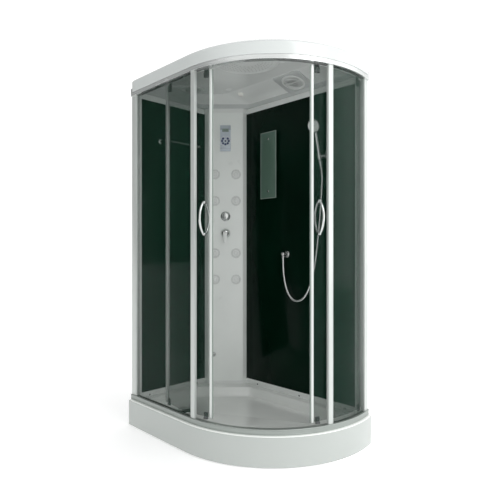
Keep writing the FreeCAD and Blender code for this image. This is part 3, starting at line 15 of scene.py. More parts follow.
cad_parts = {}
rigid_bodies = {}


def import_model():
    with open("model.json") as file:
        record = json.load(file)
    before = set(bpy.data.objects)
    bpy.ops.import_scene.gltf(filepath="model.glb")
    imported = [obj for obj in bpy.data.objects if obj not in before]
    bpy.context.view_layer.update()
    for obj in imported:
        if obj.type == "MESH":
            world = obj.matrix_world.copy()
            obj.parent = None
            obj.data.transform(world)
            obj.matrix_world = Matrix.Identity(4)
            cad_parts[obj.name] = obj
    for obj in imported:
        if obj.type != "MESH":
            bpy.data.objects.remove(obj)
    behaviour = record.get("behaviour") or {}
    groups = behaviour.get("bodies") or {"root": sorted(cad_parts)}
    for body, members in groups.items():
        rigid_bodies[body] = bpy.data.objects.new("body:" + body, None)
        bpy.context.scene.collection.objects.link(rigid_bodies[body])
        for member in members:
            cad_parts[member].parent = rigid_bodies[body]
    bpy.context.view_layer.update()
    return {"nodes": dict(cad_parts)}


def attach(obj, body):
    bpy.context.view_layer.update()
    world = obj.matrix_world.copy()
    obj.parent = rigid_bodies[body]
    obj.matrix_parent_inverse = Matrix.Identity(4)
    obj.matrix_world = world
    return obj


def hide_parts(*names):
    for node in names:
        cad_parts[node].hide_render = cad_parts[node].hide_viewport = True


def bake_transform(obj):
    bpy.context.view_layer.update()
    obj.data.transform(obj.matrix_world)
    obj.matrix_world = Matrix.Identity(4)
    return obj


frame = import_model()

MM = 0.001
CENTRE = (-40.0, 240.0)            # the front arc's centre
RADIUS = 640.0
LEFT_CENTRE = (-110.0, 226.5)      # the open left door's centre
DOOR_RADIUS = 590.0
LEFT, BACK, FRONT = -600.0, 400.0, -400.0
GLASS_INSET, HALF_GLASS = 30.0, 2.5
GLASS_RADIUS = RADIUS - GLASS_INSET
TRAY_TOP, ROOF_LOW = 155.0, 2014.0

# %% [markdown]
# ## Camera
# A view can be matched by turning a camera by eye, but then its numbers mean nothing. This camera
# stands where a fit to the photograph puts it: level, at chest height and nearly 3 m away.

# %%
LENS, SENSOR = 34.61, 36.0
CAMERA_PLACE = (1.990, -1.921, 1.058)
CAMERA_LOOK = (-0.7124, 0.7018, 0.0)


def make_camera():
    data = bpy.data.cameras.new("photo_camera")
    data.lens, data.sensor_width = LENS, SENSOR
    data.clip_start, data.clip_end = 0.05, 60.0
    camera = bpy.data.objects.new("photo_camera", data)
    bpy.context.scene.collection.objects.link(camera)
    camera.location = CAMERA_PLACE
    camera.rotation_euler = Vector(CAMERA_LOOK).to_track_quat("-Z", "Y").to_euler()
    bpy.context.scene.camera = camera


make_camera()
print("camera at", CAMERA_PLACE, "with a lens of", LENS, "mm")

# %% [markdown]
# ## Daylight
# Chrome and glass show only what stands round them. Lamps alone would leave them black, and an
# even white world would leave them flat. So the world is the room: white up to well above the
# horizon, grey overhead, and dark on the camera's left. Two soft boxes add light from above and
# behind.

# %%
ROOM_STRENGTH = 1.12
DARK_SIDE = (-0.743, -0.669, 0.0)
DARK_FROM, DARK_TO, DARKEST = 0.56, 0.9, 0.12
OVERHEAD = (0.60, 0.61, 0.61, 1)


def soft_box(name, place, target, width, height, power):
    data = bpy.data.lights.new(name, "AREA")
    data.shape, data.size, data.size_y, data.energy = "RECTANGLE", width, height, power
    lamp = bpy.data.objects.new(name, data)
    bpy.context.scene.collection.objects.link(lamp)
    lamp.location = place
    direction = Vector(target) - Vector(place)
    lamp.rotation_euler = direction.to_track_quat("-Z", "Y").to_euler()


def make_room():
    world = bpy.data.worlds.new("studio")
    bpy.context.scene.world = world
    world.use_nodes = True
    nodes, links = world.node_tree.nodes, world.node_tree.links
    back = nodes["Background"]
    coords = nodes.new("ShaderNodeTexCoord")
    split = nodes.new("ShaderNodeSeparateXYZ")
    ramp = nodes.new("ShaderNodeValToRGB")
    links.new(coords.outputs["Generated"], split.inputs[0])
    links.new(split.outputs["Z"], ramp.inputs[0])
    stops = ramp.color_ramp.elements
    stops[0].position, stops[0].color = 0.0, (1.0, 1.0, 1.0, 1)
    stops[1].position, stops[1].color = 0.9, OVERHEAD
    stops.new(0.6).color = (1.0, 1.0, 1.0, 1)
    side = nodes.new("ShaderNodeVectorMath")
    side.operation = "DOT_PRODUCT"
    side.inputs[1].default_value = DARK_SIDE
    links.new(coords.outputs["Generated"], side.inputs[0])
    shade = nodes.new("ShaderNodeMapRange")
    for name, number in (("From Min", DARK_FROM), ("From Max", DARK_TO), ("To Min", 1.0),
                         ("To Max", DARKEST)):
        shade.inputs[name].default_value = number
    links.new(side.outputs["Value"], shade.inputs["Value"])
    mix = nodes.new("ShaderNodeVectorMath")
    mix.operation = "SCALE"
    links.new(ramp.outputs[0], mix.inputs[0])
    links.new(shade.outputs[0], mix.inputs["Scale"])
    links.new(mix.outputs[0], back.inputs["Color"])
    back.inputs["Strength"].default_value = ROOM_STRENGTH


make_room()
bpy.context.scene.view_settings.view_transform = "Standard"
soft_box("key_box", (2.6, -0.2, 3.4), (0.0, 0.0, 1.0), 1.6, 1.6, 24)
soft_box("back_box", (2.96, 1.72, 1.8), (0.3, 0.0, 1.3), 2.5, 2.4, 30)
print("world strength", ROOM_STRENGTH, "and", len(bpy.data.lights), "soft boxes")

# %% [markdown]
# ## Materials
# A single colour looks like a toy, and a picture mapped on would need its own file. Every finish
# here is a Principled shader instead. Soft noise on the object's own coordinates varies its colour
# and roughness, and a bump gives brushing, moulding texture or fine wear.

# %%
def finish_material(name, colour, rough, metal=0.0, vary=0.04, grain=(6, 6, 6), rough_vary=0.06,
                    bump=0.02, bump_scale=(240, 240, 240), coat=0.0, alpha=1.0, ior=1.5,
                    glow=0.0):
    """A finish whose colour and roughness drift by vary and rough_vary over patches of grain."""
    material = bpy.data.materials.new(name)
    material.use_nodes = True
    nodes, links = material.node_tree.nodes, material.node_tree.links
    shader = nodes["Principled BSDF"]
    coords = nodes.new("ShaderNodeTexCoord")

    def noise(scale, detail):
        mapping = nodes.new("ShaderNodeMapping")
        mapping.inputs["Scale"].default_value = scale
        links.new(coords.outputs["Object"], mapping.inputs["Vector"])
        texture = nodes.new("ShaderNodeTexNoise")
        texture.inputs["Scale"].default_value = 1.0
        texture.inputs["Detail"].default_value = detail
        links.new(mapping.outputs[0], texture.inputs["Vector"])
        return texture.outputs["Fac"]

    patches = noise(grain, 3)
    ramp = nodes.new("ShaderNodeValToRGB")
    ramp.color_ramp.elements[0].position, ramp.color_ramp.elements[1].position = 0.3, 0.7
    for stop, shift in zip(ramp.color_ramp.elements, (1 - vary, 1 + vary)):
        stop.color = tuple(min(1.0, c * shift) for c in colour) + (1,)
    links.new(patches, ramp.inputs[0])
    links.new(ramp.outputs[0], shader.inputs["Base Color"])
    spread = nodes.new("ShaderNodeMapRange")
    for end, number in (("From Min", 0.3), ("From Max", 0.7), ("To Max", rough + rough_vary),
                        ("To Min", max(0.02, rough - rough_vary))):
        spread.inputs[end].default_value = number
    links.new(patches, spread.inputs["Value"])
    links.new(spread.outputs[0], shader.inputs["Roughness"])
    relief = nodes.new("ShaderNodeBump")
    relief.inputs["Strength"].default_value = bump
    relief.inputs["Distance"].default_value = 0.002
    links.new(noise(bump_scale, 2), relief.inputs["Height"])
    links.new(relief.outputs[0], shader.inputs["Normal"])
    shader.inputs["Metallic"].default_value = metal
    shader.inputs["IOR"].default_value = ior
    shader.inputs["Coat Weight"].default_value = coat
    shader.inputs["Coat Roughness"].default_value = 0.05
    shader.inputs["Alpha"].default_value = alpha
    if glow:
        shader.inputs["Emission Color"].default_value = tuple(colour) + (1,)
        shader.inputs["Emission Strength"].default_value = glow
    return material


print("finish_material makes a shader with noise, roughness and a bump")

# %% [markdown]
# ### Acrylic, plastic and the dark walls
# The tray, the roof and the ceiling are one kind of acrylic on the real cabin. They get a material
# each, because the photograph shows them at different levels: the apron in shade, the canopy in
# between, the ceiling brightest. The wall panels are nearly black, with a low IOR, so that they
# mirror the fittings only faintly.

# %%
ACRYLIC = finish_material("acrylic", (0.88, 0.91, 0.88), 0.2, coat=0.5, vary=0.015,
                          bump=0.01, bump_scale=(30, 30, 30))
APRON = finish_material("apron_acrylic", (0.48, 0.51, 0.49), 0.25, coat=0.3, vary=0.004,
                        rough_vary=0.01, bump=0.01, bump_scale=(9, 9, 9))
ROOF = finish_material("roof_acrylic", (0.61, 0.64, 0.63), 0.24, coat=0.4, vary=0.006,
                       rough_vary=0.01, bump=0.012, bump_scale=(20, 20, 20))
CEILING = finish_material("ceiling_acrylic", (0.90, 0.93, 0.91), 0.22, coat=0.4, vary=0.015,
                          bump=0.012, bump_scale=(20, 20, 20))
# Painted shade for the grooves of the body jets.
GROOVE_SHADE = finish_material("jet_groove_shade", (0.34, 0.37, 0.35), 0.4, vary=0.05, bump=0.03)
DARK = finish_material("dark_panel", (0.001, 0.010, 0.005), 0.12, vary=0.25, ior=1.2,
                       grain=(3, 3, 2), rough_vary=0.03, bump=0.004, bump_scale=(12, 12, 12))
COLUMN = finish_material("column_plastic", (0.90, 0.94, 0.91), 0.33, coat=0.15, vary=0.02,
                         bump=0.03, bump_scale=(420, 420, 420))
TRIM = finish_material("white_trim", (0.82, 0.85, 0.83), 0.32, vary=0.02, bump=0.02,
                       bump_scale=(380, 380, 380))
JET = finish_material("jet_plastic", (0.86, 0.89, 0.87), 0.14, coat=0.6, vary=0.02)
print("plastics:", len(bpy.data.materials), "materials so far")

# %% [markdown]
# ### Metals, glass and seals
# Aluminium is only half metallic here: the real profiles are satin, and a full metal would mirror
# the dark walls. Grain that is stretched along a profile reads as brushing. The glass is a dark
# tint with an alpha, which renders faster and cleaner than real refraction in thin panes.

# %%
BRUSHED_UPRIGHT = {"grain": (40, 40, 1.2), "bump_scale": (900, 900, 8)}
BRUSHED_LEVEL = {"grain": (4, 4, 60), "bump_scale": (6, 6, 900), "bump": 0.003, "vary": 0.01,
                 "rough_vary": 0.02}

ALUMINIUM = finish_material("aluminium", (0.60, 0.63, 0.61), 0.34, metal=0.35, vary=0.05,
                            bump=0.06, **BRUSHED_UPRIGHT)
RAIL = finish_material("rail_aluminium", (0.64, 0.66, 0.65), 0.26, metal=0.7, **BRUSHED_LEVEL)
# The lower rail is the same aluminium, darker: painted shade.
LOW_RAIL = finish_material("low_rail_aluminium_painted_shade", (0.33, 0.36, 0.34), 0.34, metal=0.4,
                           **BRUSHED_LEVEL)
# The doors' leading profiles are the same aluminium, lighter: painted highlight.
EDGE_PROFILE = finish_material("door_profile", (0.66, 0.69, 0.67), 0.3, metal=0.3, vary=0.03,
                               bump=0.04, **BRUSHED_UPRIGHT)
CHROME = finish_material("chrome", (0.62, 0.64, 0.63), 0.07, metal=1.0, vary=0.03,
                         grain=(20, 20, 20), rough_vary=0.03, bump=0.01,
                         bump_scale=(160, 160, 160))
HOSE = finish_material("hose_chrome", (0.70, 0.72, 0.71), 0.2, metal=1.0, vary=0.06,
                       grain=(60, 60, 60), bump=0.02)
GLASS = finish_material("tinted_glass", (0.008, 0.034, 0.021), 0.05, alpha=0.25, vary=0.06,
                        grain=(1.5, 1.5, 1.5), rough_vary=0.02, bump=0.0, ior=1.26)
SEAL = finish_material("clear_seal", (0.30, 0.35, 0.32), 0.35, vary=0.03, bump=0.03)
NYLON = finish_material("nylon", (0.55, 0.56, 0.54), 0.42, vary=0.04, bump=0.04,
                        bump_scale=(300, 300, 300))
GUIDE = finish_material("guide_plastic", (0.13, 0.14, 0.14), 0.4, vary=0.05, bump=0.04,
                        bump_scale=(300, 300, 300))
print("metals and glass:", len(bpy.data.materials), "materials so far")

# %% [markdown]
# ### Controls, mirror and services
# Small finishes: the control panel and its keys, the mirror with its pale bevel, the steel, brass
# and boxes behind the column, the lamp, and the studio floor, which glows a little to stay white.

# %%
SILVER = finish_material("control_silver", (0.56, 0.62, 0.68), 0.28, metal=0.35, vary=0.03,
                         grain=(3, 3, 40), bump=0.03, bump_scale=(60, 60, 900))
LCD = finish_material("display_glass", (0.26, 0.33, 0.29), 0.12, coat=0.8, vary=0.05)
LCD_INK = finish_material("display_segments", (0.03, 0.05, 0.05), 0.3, vary=0.05)
BLUE = finish_material("button_blue", (0.02, 0.04, 0.14), 0.3, coat=0.3, vary=0.08, bump=0.03)
# The mirror's dark green is partly a painted reflection, under a weak real one.
MIRROR = finish_material("mirror_glass", (0.12, 0.20, 0.155), 0.06, metal=0.2, vary=0.05,
                         grain=(2, 2, 2), rough_vary=0.02, bump=0.0)
# The bevel's pale colour is a painted highlight.
BEVEL = finish_material("mirror_bevel_painted_highlight", (0.62, 0.70, 0.66), 0.08, metal=0.6, vary=0.04)
# Dark plastic for the dark parts, and painted shade where it fills the drain's slots and the
# speaker's holes.
SHADOW = finish_material("dark_plastic_and_painted_shade", (0.035, 0.04, 0.04), 0.5, vary=0.1, bump=0.05)
# Steel and the cases are darker than bare metal: partly their own grey, partly painted shade for
# the feet and frame under the tray.
STEEL = finish_material("zinc_steel_and_painted_shade", (0.26, 0.27, 0.28), 0.4, metal=0.9, vary=0.12,
                        grain=(25, 25, 25), bump=0.08, bump_scale=(120, 120, 120))
BRASS = finish_material("valve_brass", (0.62, 0.44, 0.20), 0.32, metal=1.0, vary=0.1,
                        grain=(20, 20, 20), bump=0.05)
# Partly its own grey, partly painted shade for the frame under the tray.
CASE = finish_material("generator_case", (0.30, 0.32, 0.33), 0.45, metal=0.3, vary=0.05,
                       bump=0.12, bump_scale=(260, 260, 260))
LAMP = finish_material("lamp_cover", (0.80, 0.80, 0.76), 0.25, vary=0.02, glow=0.12)
GROUND = finish_material("studio_floor", (0.94, 0.94, 0.94), 0.8, vary=0.004,
                         grain=(0.4, 0.4, 0.4), bump=0.005, glow=0.3)
print(len(bpy.data.materials), "materials in the file")

# %% [markdown]
# ## Making a piece
# Blender can model with primitives and modifiers, but a real part is easier to check when its
# points are written down. `form` turns points and faces into one finished piece: normals outwards,
# smooth with sharp edges, on its body, and standing for its CAD node. `tell` prints what is new.


def form(name, points, faces, material, body="cabin", node=None, sharp=32, bevel=0.0):
    """One piece, its place in its mesh, riding on a body and standing for its CAD node."""
    mesh = bpy.data.meshes.new(name)
    mesh.from_pydata([Vector(point) * MM for point in points], [], faces)
    mesh.validate()
    mesh.materials.append(material)
    return settle(linked(name, mesh), body, node, sharp, bevel)


def linked(name, data):
    """A new object with this data, in the scene."""
    piece = bpy.data.objects.new(name, data)
    bpy.context.scene.collection.objects.link(piece)
    return piece


def settle(piece, body, node=None, sharp=32, bevel=0.0):
    """Finishes a piece's surface and ties it to the frame."""
    mesh = piece.data
    skin = bmesh.new()
    skin.from_mesh(mesh)
    bmesh.ops.recalc_face_normals(skin, faces=skin.faces)
    skin.to_mesh(mesh)
    skin.free()
    for polygon in mesh.polygons:
        polygon.use_smooth = True
    mesh.set_sharp_from_angle(angle=math.radians(sharp))
    if bevel:
        round_off(piece, bevel)
    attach(piece, body)
    if node:
        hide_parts(node)
    return piece


def round_off(piece, width):
    """Live rounding of every edge that turns by more than 35 degrees."""
    modifier = piece.modifiers.new("rounded_edges", "BEVEL")
    modifier.width = width * MM
    modifier.segments = 2
    modifier.limit_method = "ANGLE"
    modifier.angle_limit = math.radians(35)
    modifier.harden_normals = True


told = {thing.name for thing in bpy.data.objects}


def tell(title):
    """Prints each piece made since the last call, with its size and its faces."""
    for piece in bpy.data.objects:
        if piece.name in told or piece.type != "MESH":
            continue
        told.add(piece.name)
        places = [vertex.co for vertex in piece.data.vertices]
        sides = [max(spots) - min(spots) for spots in zip(*places)]
        print("%s: %s, %.0f x %.0f x %.0f mm, %d faces" % (
            title, piece.name, *[side / MM for side in sides], len(piece.data.polygons)))


tell("ready")

# %% [markdown]
# ## Shared shapes
# A shape here is a pair: points in millimetres and faces. `rings` skins closed rings of equal
# count, which covers lathes, sweeps and raised sections alike. `joined` and `moved` put shapes
# together. This is shorter than building each with an operator, and nothing depends on a mode.

# %%
def rings(loops, close=False, caps=True):
    """Points and faces of a skin over closed loops with the same number of points."""
    count = len(loops[0])
    points = [point for loop in loops for point in loop]
    faces = []
    spans = len(loops) if close else len(loops) - 1
    for row in range(spans):
        low, high = row * count, ((row + 1) % len(loops)) * count
        for step in range(count):
            after = (step + 1) % count
            faces.append((low + step, low + after, high + after, high + step))
    if caps and not close:
        faces.append(tuple(reversed(range(count))))
        faces.append(tuple(range(len(points) - count, len(points))))
    return points, faces


def joined(*shapes):
    """Several point-and-face lists as one."""
    points, faces = [], []
    for more_points, more_faces in shapes:
        shift = len(points)
        points.extend(more_points)
        faces.extend(tuple(index + shift for index in face) for face in more_faces)
    return points, faces


def frame_at(origin, across, up):
    """A local frame: x across, y up and z out of the surface."""
    across, up = Vector(across).normalized(), Vector(up).normalized()
    out = across.cross(up)
    return Matrix(((across.x, up.x, out.x, origin[0]), (across.y, up.y, out.y, origin[1]),
                   (across.z, up.z, out.z, origin[2]), (0, 0, 0, 1)))


def moved(matrix, shape):
    points, faces = shape
    return [matrix @ Vector(point) for point in points], faces


print("rings, joined and moved are ready")

# %% [markdown]
# ### Places on the cabin
# A fitting is drawn flat, with its z out of the surface, and then set on a place: the diagonal
# column, either wall, or an angle of a door's arc. So its own numbers stay simple.

# %%
SIN45 = math.sqrt(0.5)
COLUMN_MIDDLE = (-442.5, 242.5)


def on_column(across, height, out=0.0):
    """A frame on the column's face."""
    x = COLUMN_MIDDLE[0] + (across + out) * SIN45
    y = COLUMN_MIDDLE[1] + (across - out) * SIN45
    return frame_at((x, y, height), (SIN45, SIN45, 0), (0, 0, 1))


def on_long_wall(x, height, off=40.0):
    """A frame in front of the wall behind the cabin."""
    return frame_at((x, BACK - off, height), (1, 0, 0), (0, 0, 1))


def on_short_wall(y, height, off=40.0):
    """A frame in front of the wall on the left."""
    return frame_at((LEFT + off, y, height), (0, 1, 0), (0, 0, 1))


def on_arc(centre, radius, angle, height=0.0):
    """A frame at an angle of an arc, counted from the front towards the right."""
    sine, cosine = math.sin(angle), math.cos(angle)
    origin = (centre[0] + radius * sine, centre[1] - radius * cosine, height)
    return frame_at(origin, (cosine, sine, 0), (0, 0, 1))


print("the column's face is centred on", COLUMN_MIDDLE)

# %% [markdown]
# ### Lathes and plates
# Roses, knobs, jets and lids are turned, so they are one profile each, with its corners rounded
# before it turns: a soft edge that catches the light is what makes a fitting look real.

# %%
def turned_shape(profile, steps=40):
    """A lathe about local z; the profile is (radius, height) from one end to the other."""
    loops = []
    for radius, height in profile:
        radius = max(radius, 0.01)
        loops.append([(radius * math.cos(math.tau * step / steps),
                       radius * math.sin(math.tau * step / steps), height)
                      for step in range(steps)])
    return rings(loops)


def rounded(profile, radius=1.0, steps=4):
    """The same open profile with its inner corners rounded."""
    result = [profile[0]]
    for before, corner, after in zip(profile, profile[1:], profile[2:]):
        a, b, c = Vector(before), Vector(corner), Vector(after)
        trim = min(radius, (a - b).length * 0.48, (c - b).length * 0.48)
        if trim < 0.01:
            result.append(corner)
            continue
        first, last = b + (a - b).normalized() * trim, b + (c - b).normalized() * trim
        for step in range(steps + 1):
            share = step / steps
            point = first * (1 - share) ** 2 + b * 2 * share * (1 - share) + last * share ** 2
            result.append(tuple(point))
    result.append(profile[-1])
    return result


def slab_shape(width, height, low, high, radius=2.0, edge=0.8, steps=5):
    """A rounded plate lying in local x and y, from low to high along z, with soft edges."""
    def outline(inset):
        w, h = width / 2 - inset, height / 2 - inset
        r = max(radius - inset, 0.05)
        loop = []
        for cx, cy, start in ((w - r, h - r, 0), (r - w, h - r, 90), (r - w, r - h, 180),
                              (w - r, r - h, 270)):
            for step in range(steps + 1):
                turn = math.radians(start + 90 * step / steps)
                loop.append((cx + r * math.cos(turn), cy + r * math.sin(turn)))
        return loop
    layers = [(edge, low), (0, low + edge), (0, high - edge), (edge * 0.3, high - edge * 0.3),
              (edge, high)]
    return rings([[(x, y, z) for x, y in outline(inset)] for inset, z in layers])


print("a turned knob has", len(turned_shape([(0, 0), (10, 0), (0, 5)])[1]), "faces")

# %% [markdown]
# ### Along the front
# Rails and apron follow a straight run and an arc that ends at the wall. A curve with a bevel
# object would twist or pinch there. `swept_shape` puts every corner of the section at its own
# radius instead, so all of them end exactly on the wall.

# %%
STRAIGHT_STEPS, ARC_STEPS = 6, 72


def wall_angle(inset):
    """Where the arc, set in by this much, meets the wall behind."""
    return math.pi / 2 + math.asin((BACK - CENTRE[1]) / (RADIUS - inset))


def front_points(insets):
    """Stations along the front: for each, where every inset of the section lies."""
    stations = []
    for step in range(STRAIGHT_STEPS):
        x = LEFT + (CENTRE[0] - LEFT) * step / STRAIGHT_STEPS
        stations.append([(x, FRONT + inset) for inset in insets])
    for step in range(ARC_STEPS + 1):
        station = []
        for inset in insets:
            angle = wall_angle(inset) * step / ARC_STEPS
            station.append((CENTRE[0] + (RADIUS - inset) * math.sin(angle),
                            CENTRE[1] - (RADIUS - inset) * math.cos(angle)))
        stations.append(station)
    return stations


def swept_shape(section):
    """A closed section of (inset, height) run along the whole front."""
    insets = [inset for inset, height in section]
    loops = [[(x, y, height) for (x, y), (inset, height) in zip(station, section)]
             for station in front_points(insets)]
    return rings(loops)


print("the front's arc spans %.1f degrees" % math.degrees(wall_angle(0.0)))

# %% [markdown]
# ### Rings of the plan
# Tray and roof are stacks of the cabin's plan, each set in and raised a little. Every ring has
# the same number of points, so they can be skinned. The corner by the column may be cut off.

# %%
PLAN_ARC_STEPS, SIDE_STEPS, CORNER_REACH = 60, 14, 14.0


def plan_ring(front, back, left, height, cut=None):
    """One closed ring of the plan, set in from front, back and left, with softened corners."""
    radius = RADIUS - front
    wall_y = BACK - back
    stop = math.pi / 2 + math.asin((wall_y - CENTRE[1]) / radius)
    ring = [(CENTRE[0] + radius * math.sin(stop * step / PLAN_ARC_STEPS),
             CENTRE[1] - radius * math.cos(stop * step / PLAN_ARC_STEPS))
            for step in range(PLAN_ARC_STEPS + 1)]
    if cut is None:
        cut = back + left + 2
    stations = [(LEFT + cut - back, wall_y), (LEFT + left, BACK - cut + left),
                (LEFT + left, FRONT + front), (CENTRE[0], FRONT + front)]
    here = (CENTRE[0] + radius * math.sin(stop), CENTRE[1] - radius * math.cos(stop))
    for there in stations:
        for step in range(1, SIDE_STEPS + 1):
            share = step / SIDE_STEPS
            share = share * share * (3 - 2 * share) * 0.5 + share * 0.5
            ring.append((here[0] + (there[0] - here[0]) * share,
                         here[1] + (there[1] - here[1]) * share))
        here = there
    ring.pop()
    return [(x, y, height) for x, y in ring_softened(ring, CORNER_REACH)]


def ring_softened(ring, reach):
    """Pulls the sharp corners of a ring inwards over a short reach."""
    count = len(ring)
    result = []
    for index, point in enumerate(ring):
        here = Vector(point)
        before, after = Vector(ring[index - 1]), Vector(ring[(index + 1) % count])
        turn = (here - before).angle(after - here, 0.0)
        if turn > 0.3:
            pull = min(reach, (here - before).length, (after - here).length) * 0.3
            here = here + ((before - here).normalized() + (after - here).normalized()) * pull
        result.append(tuple(here))
    return result


print("a ring of the plan has", len(plan_ring(0, 0, 0, 0)), "points")

# %% [markdown]
# ### Curved sheets and uprights
# A pane is a thin section carried round its arc. Its edges are ground by 0.7 mm, because bare
# glass edges show as bright lines. An upright is a section that is raised.

# %%
def sheet_shape(centre, outer, inner, start, stop, low, high, steps):
    """A curved sheet of glass with lightly ground edges."""
    edge = 0.7
    loops = []
    length = edge / outer
    stations = [(start, edge), (start + length, 0.0)]
    stations += [(start + length + (stop - start - 2 * length) * step / steps, 0.0)
                 for step in range(1, steps)]
    stations += [(stop - length, 0.0), (stop, edge)]
    for angle, trim in stations:
        sine, cosine = math.sin(angle), math.cos(angle)
        section = ((outer - trim, low + edge), (outer - trim, high - edge),
                   (outer - edge - trim * 0.5, high), (inner + edge + trim * 0.5, high),
                   (inner + trim, high - edge), (inner + trim, low + edge),
                   (inner + edge + trim * 0.5, low), (outer - edge - trim * 0.5, low))
        loops.append([(centre[0] + radius * sine, centre[1] - radius * cosine, height)
                      for radius, height in section])
    return rings(loops)


def upright_shape(section, low, high):
    """A section of (across, out) raised from low to high in a frame whose up is local y."""
    loops = [[(across, height, out) for across, out in section] for height in (low, high)]
    return rings(loops)


def grooved_section(width, depth, out, grooves=(), lip=1.0):
    """A rectangular bar's section with shallow grooves along its outer face."""
    groove, deep = 1.6, 1.1
    points = [(-width / 2, out - depth), (width / 2, out - depth), (width / 2, out - lip),
              (width / 2 - lip, out)]
    for place in sorted(grooves, reverse=True):
        points += [(place + groove / 2, out), (place + groove / 2, out - deep),
                   (place - groove / 2, out - deep), (place - groove / 2, out)]
    return points + [(-width / 2 + lip, out), (-width / 2, out - lip)]


print("an upright with two grooves has", len(grooved_section(29, 17, 8, (-7, 7))), "corners")

# %% [markdown]
# ## Node group for tubes
# Bars that are bent from round stock follow a path. A curve's own bevel could do it, but a small
# Geometry Nodes tree has named inputs for radius and sides, and closes the ends.

# %%
def tube_group():
    group = bpy.data.node_groups.new("tube_on_path", "GeometryNodeTree")
    face = group.interface
    face.new_socket("Path", in_out="INPUT", socket_type="NodeSocketGeometry")
    face.new_socket("Radius", in_out="INPUT", socket_type="NodeSocketFloat")
    face.new_socket("Sides", in_out="INPUT", socket_type="NodeSocketInt")
    face.new_socket("Finish", in_out="INPUT", socket_type="NodeSocketMaterial")
    face.new_socket("Tube", in_out="OUTPUT", socket_type="NodeSocketGeometry")
    nodes, links = group.nodes, group.links
    given, result = nodes.new("NodeGroupInput"), nodes.new("NodeGroupOutput")
    circle = nodes.new("GeometryNodeCurvePrimitiveCircle")
    tube = nodes.new("GeometryNodeCurveToMesh")
    tube.inputs["Fill Caps"].default_value = True
    smooth = nodes.new("GeometryNodeSetShadeSmooth")
    paint = nodes.new("GeometryNodeSetMaterial")
    links.new(given.outputs["Path"], tube.inputs["Curve"])
    links.new(given.outputs["Radius"], circle.inputs["Radius"])
    links.new(given.outputs["Sides"], circle.inputs["Resolution"])
    links.new(circle.outputs["Curve"], tube.inputs["Profile Curve"])
    links.new(tube.outputs["Mesh"], smooth.inputs["Geometry"])
    links.new(smooth.outputs["Geometry"], paint.inputs["Geometry"])
    links.new(given.outputs["Finish"], paint.inputs["Material"])
    links.new(paint.outputs["Geometry"], result.inputs["Tube"])
    return group


TUBE = tube_group()
print("node group:", TUBE.name)

# %% [markdown]
# ## Node group for repeats
# Screws, jets and nozzles are one small item, many times. The tree sets it on points and turns
# each copy by the point's own attribute, so that one list of frames places them all.

# %%
TURN = "turn"                          # the attribute that says how each copy is turned


def repeat_group():
    group = bpy.data.node_groups.new("repeat_on_points", "GeometryNodeTree")
    face = group.interface
    face.new_socket("Points", in_out="INPUT", socket_type="NodeSocketGeometry")
    face.new_socket("Item", in_out="INPUT", socket_type="NodeSocketObject")
    face.new_socket("Finish", in_out="INPUT", socket_type="NodeSocketMaterial")
    face.new_socket("Copies", in_out="OUTPUT", socket_type="NodeSocketGeometry")
    nodes, links = group.nodes, group.links
    given, result = nodes.new("NodeGroupInput"), nodes.new("NodeGroupOutput")
    item = nodes.new("GeometryNodeObjectInfo")
    turn = nodes.new("GeometryNodeInputNamedAttribute")
    turn.data_type = "FLOAT_VECTOR"
    turn.inputs["Name"].default_value = TURN
    spin = nodes.new("FunctionNodeEulerToRotation")
    scatter = nodes.new("GeometryNodeInstanceOnPoints")
    real = nodes.new("GeometryNodeRealizeInstances")
    paint = nodes.new("GeometryNodeSetMaterial")
    links.new(given.outputs["Item"], item.inputs["Object"])
    links.new(given.outputs["Points"], scatter.inputs["Points"])
    links.new(item.outputs["Geometry"], scatter.inputs["Instance"])
    links.new(turn.outputs["Attribute"], spin.inputs["Euler"])
    links.new(spin.outputs["Rotation"], scatter.inputs["Rotation"])
    links.new(scatter.outputs["Instances"], real.inputs["Geometry"])
    links.new(real.outputs["Geometry"], paint.inputs["Geometry"])
    links.new(given.outputs["Finish"], paint.inputs["Material"])
    links.new(paint.outputs["Geometry"], result.inputs["Copies"])
    return group


REPEAT = repeat_group()
print("node group:", REPEAT.name)

# %% [markdown]
# ## Using the node groups
# A modifier runs a group on a carrier object, and its inputs are set by their identifiers. Each
# result is turned into a plain mesh at once, because the export drops instances and live trees.

# %%
def run_group(carrier, group, values):
    """Puts a node group on an object, sets its named inputs and returns the plain mesh."""
    modifier = carrier.modifiers.new("shape", "NODES")
    modifier.node_group = group
    for item in group.interface.items_tree:
        if item.in_out == "INPUT" and item.name in values:
            modifier[item.identifier] = values[item.name]
    bpy.context.view_layer.update()
    ready = carrier.evaluated_get(bpy.context.evaluated_depsgraph_get())
    return bpy.data.meshes.new_from_object(ready)


def path_object(name, places, resolution):
    """A smooth open path through points in millimetres."""
    data = bpy.data.curves.new(name, "CURVE")
    data.dimensions = "3D"
    data.resolution_u = resolution
    spline = data.splines.new("NURBS")
    spline.points.add(len(places) - 1)
    for point, place in zip(spline.points, places):
        point.co = (*[value * MM for value in place], 1)
    spline.order_u = 3
    spline.use_endpoint_u = True
    return linked(name, data)


def tube(name, path, radius, material, body="cabin", sides=16):
    """A round tube along points in millimetres."""
    carrier = path_object(name + "_path", path, 6)
    mesh = run_group(carrier, TUBE, {"Radius": radius * MM, "Sides": sides, "Finish": material})
    bpy.data.objects.remove(carrier)
    return settle(linked(name, mesh), body, sharp=50)


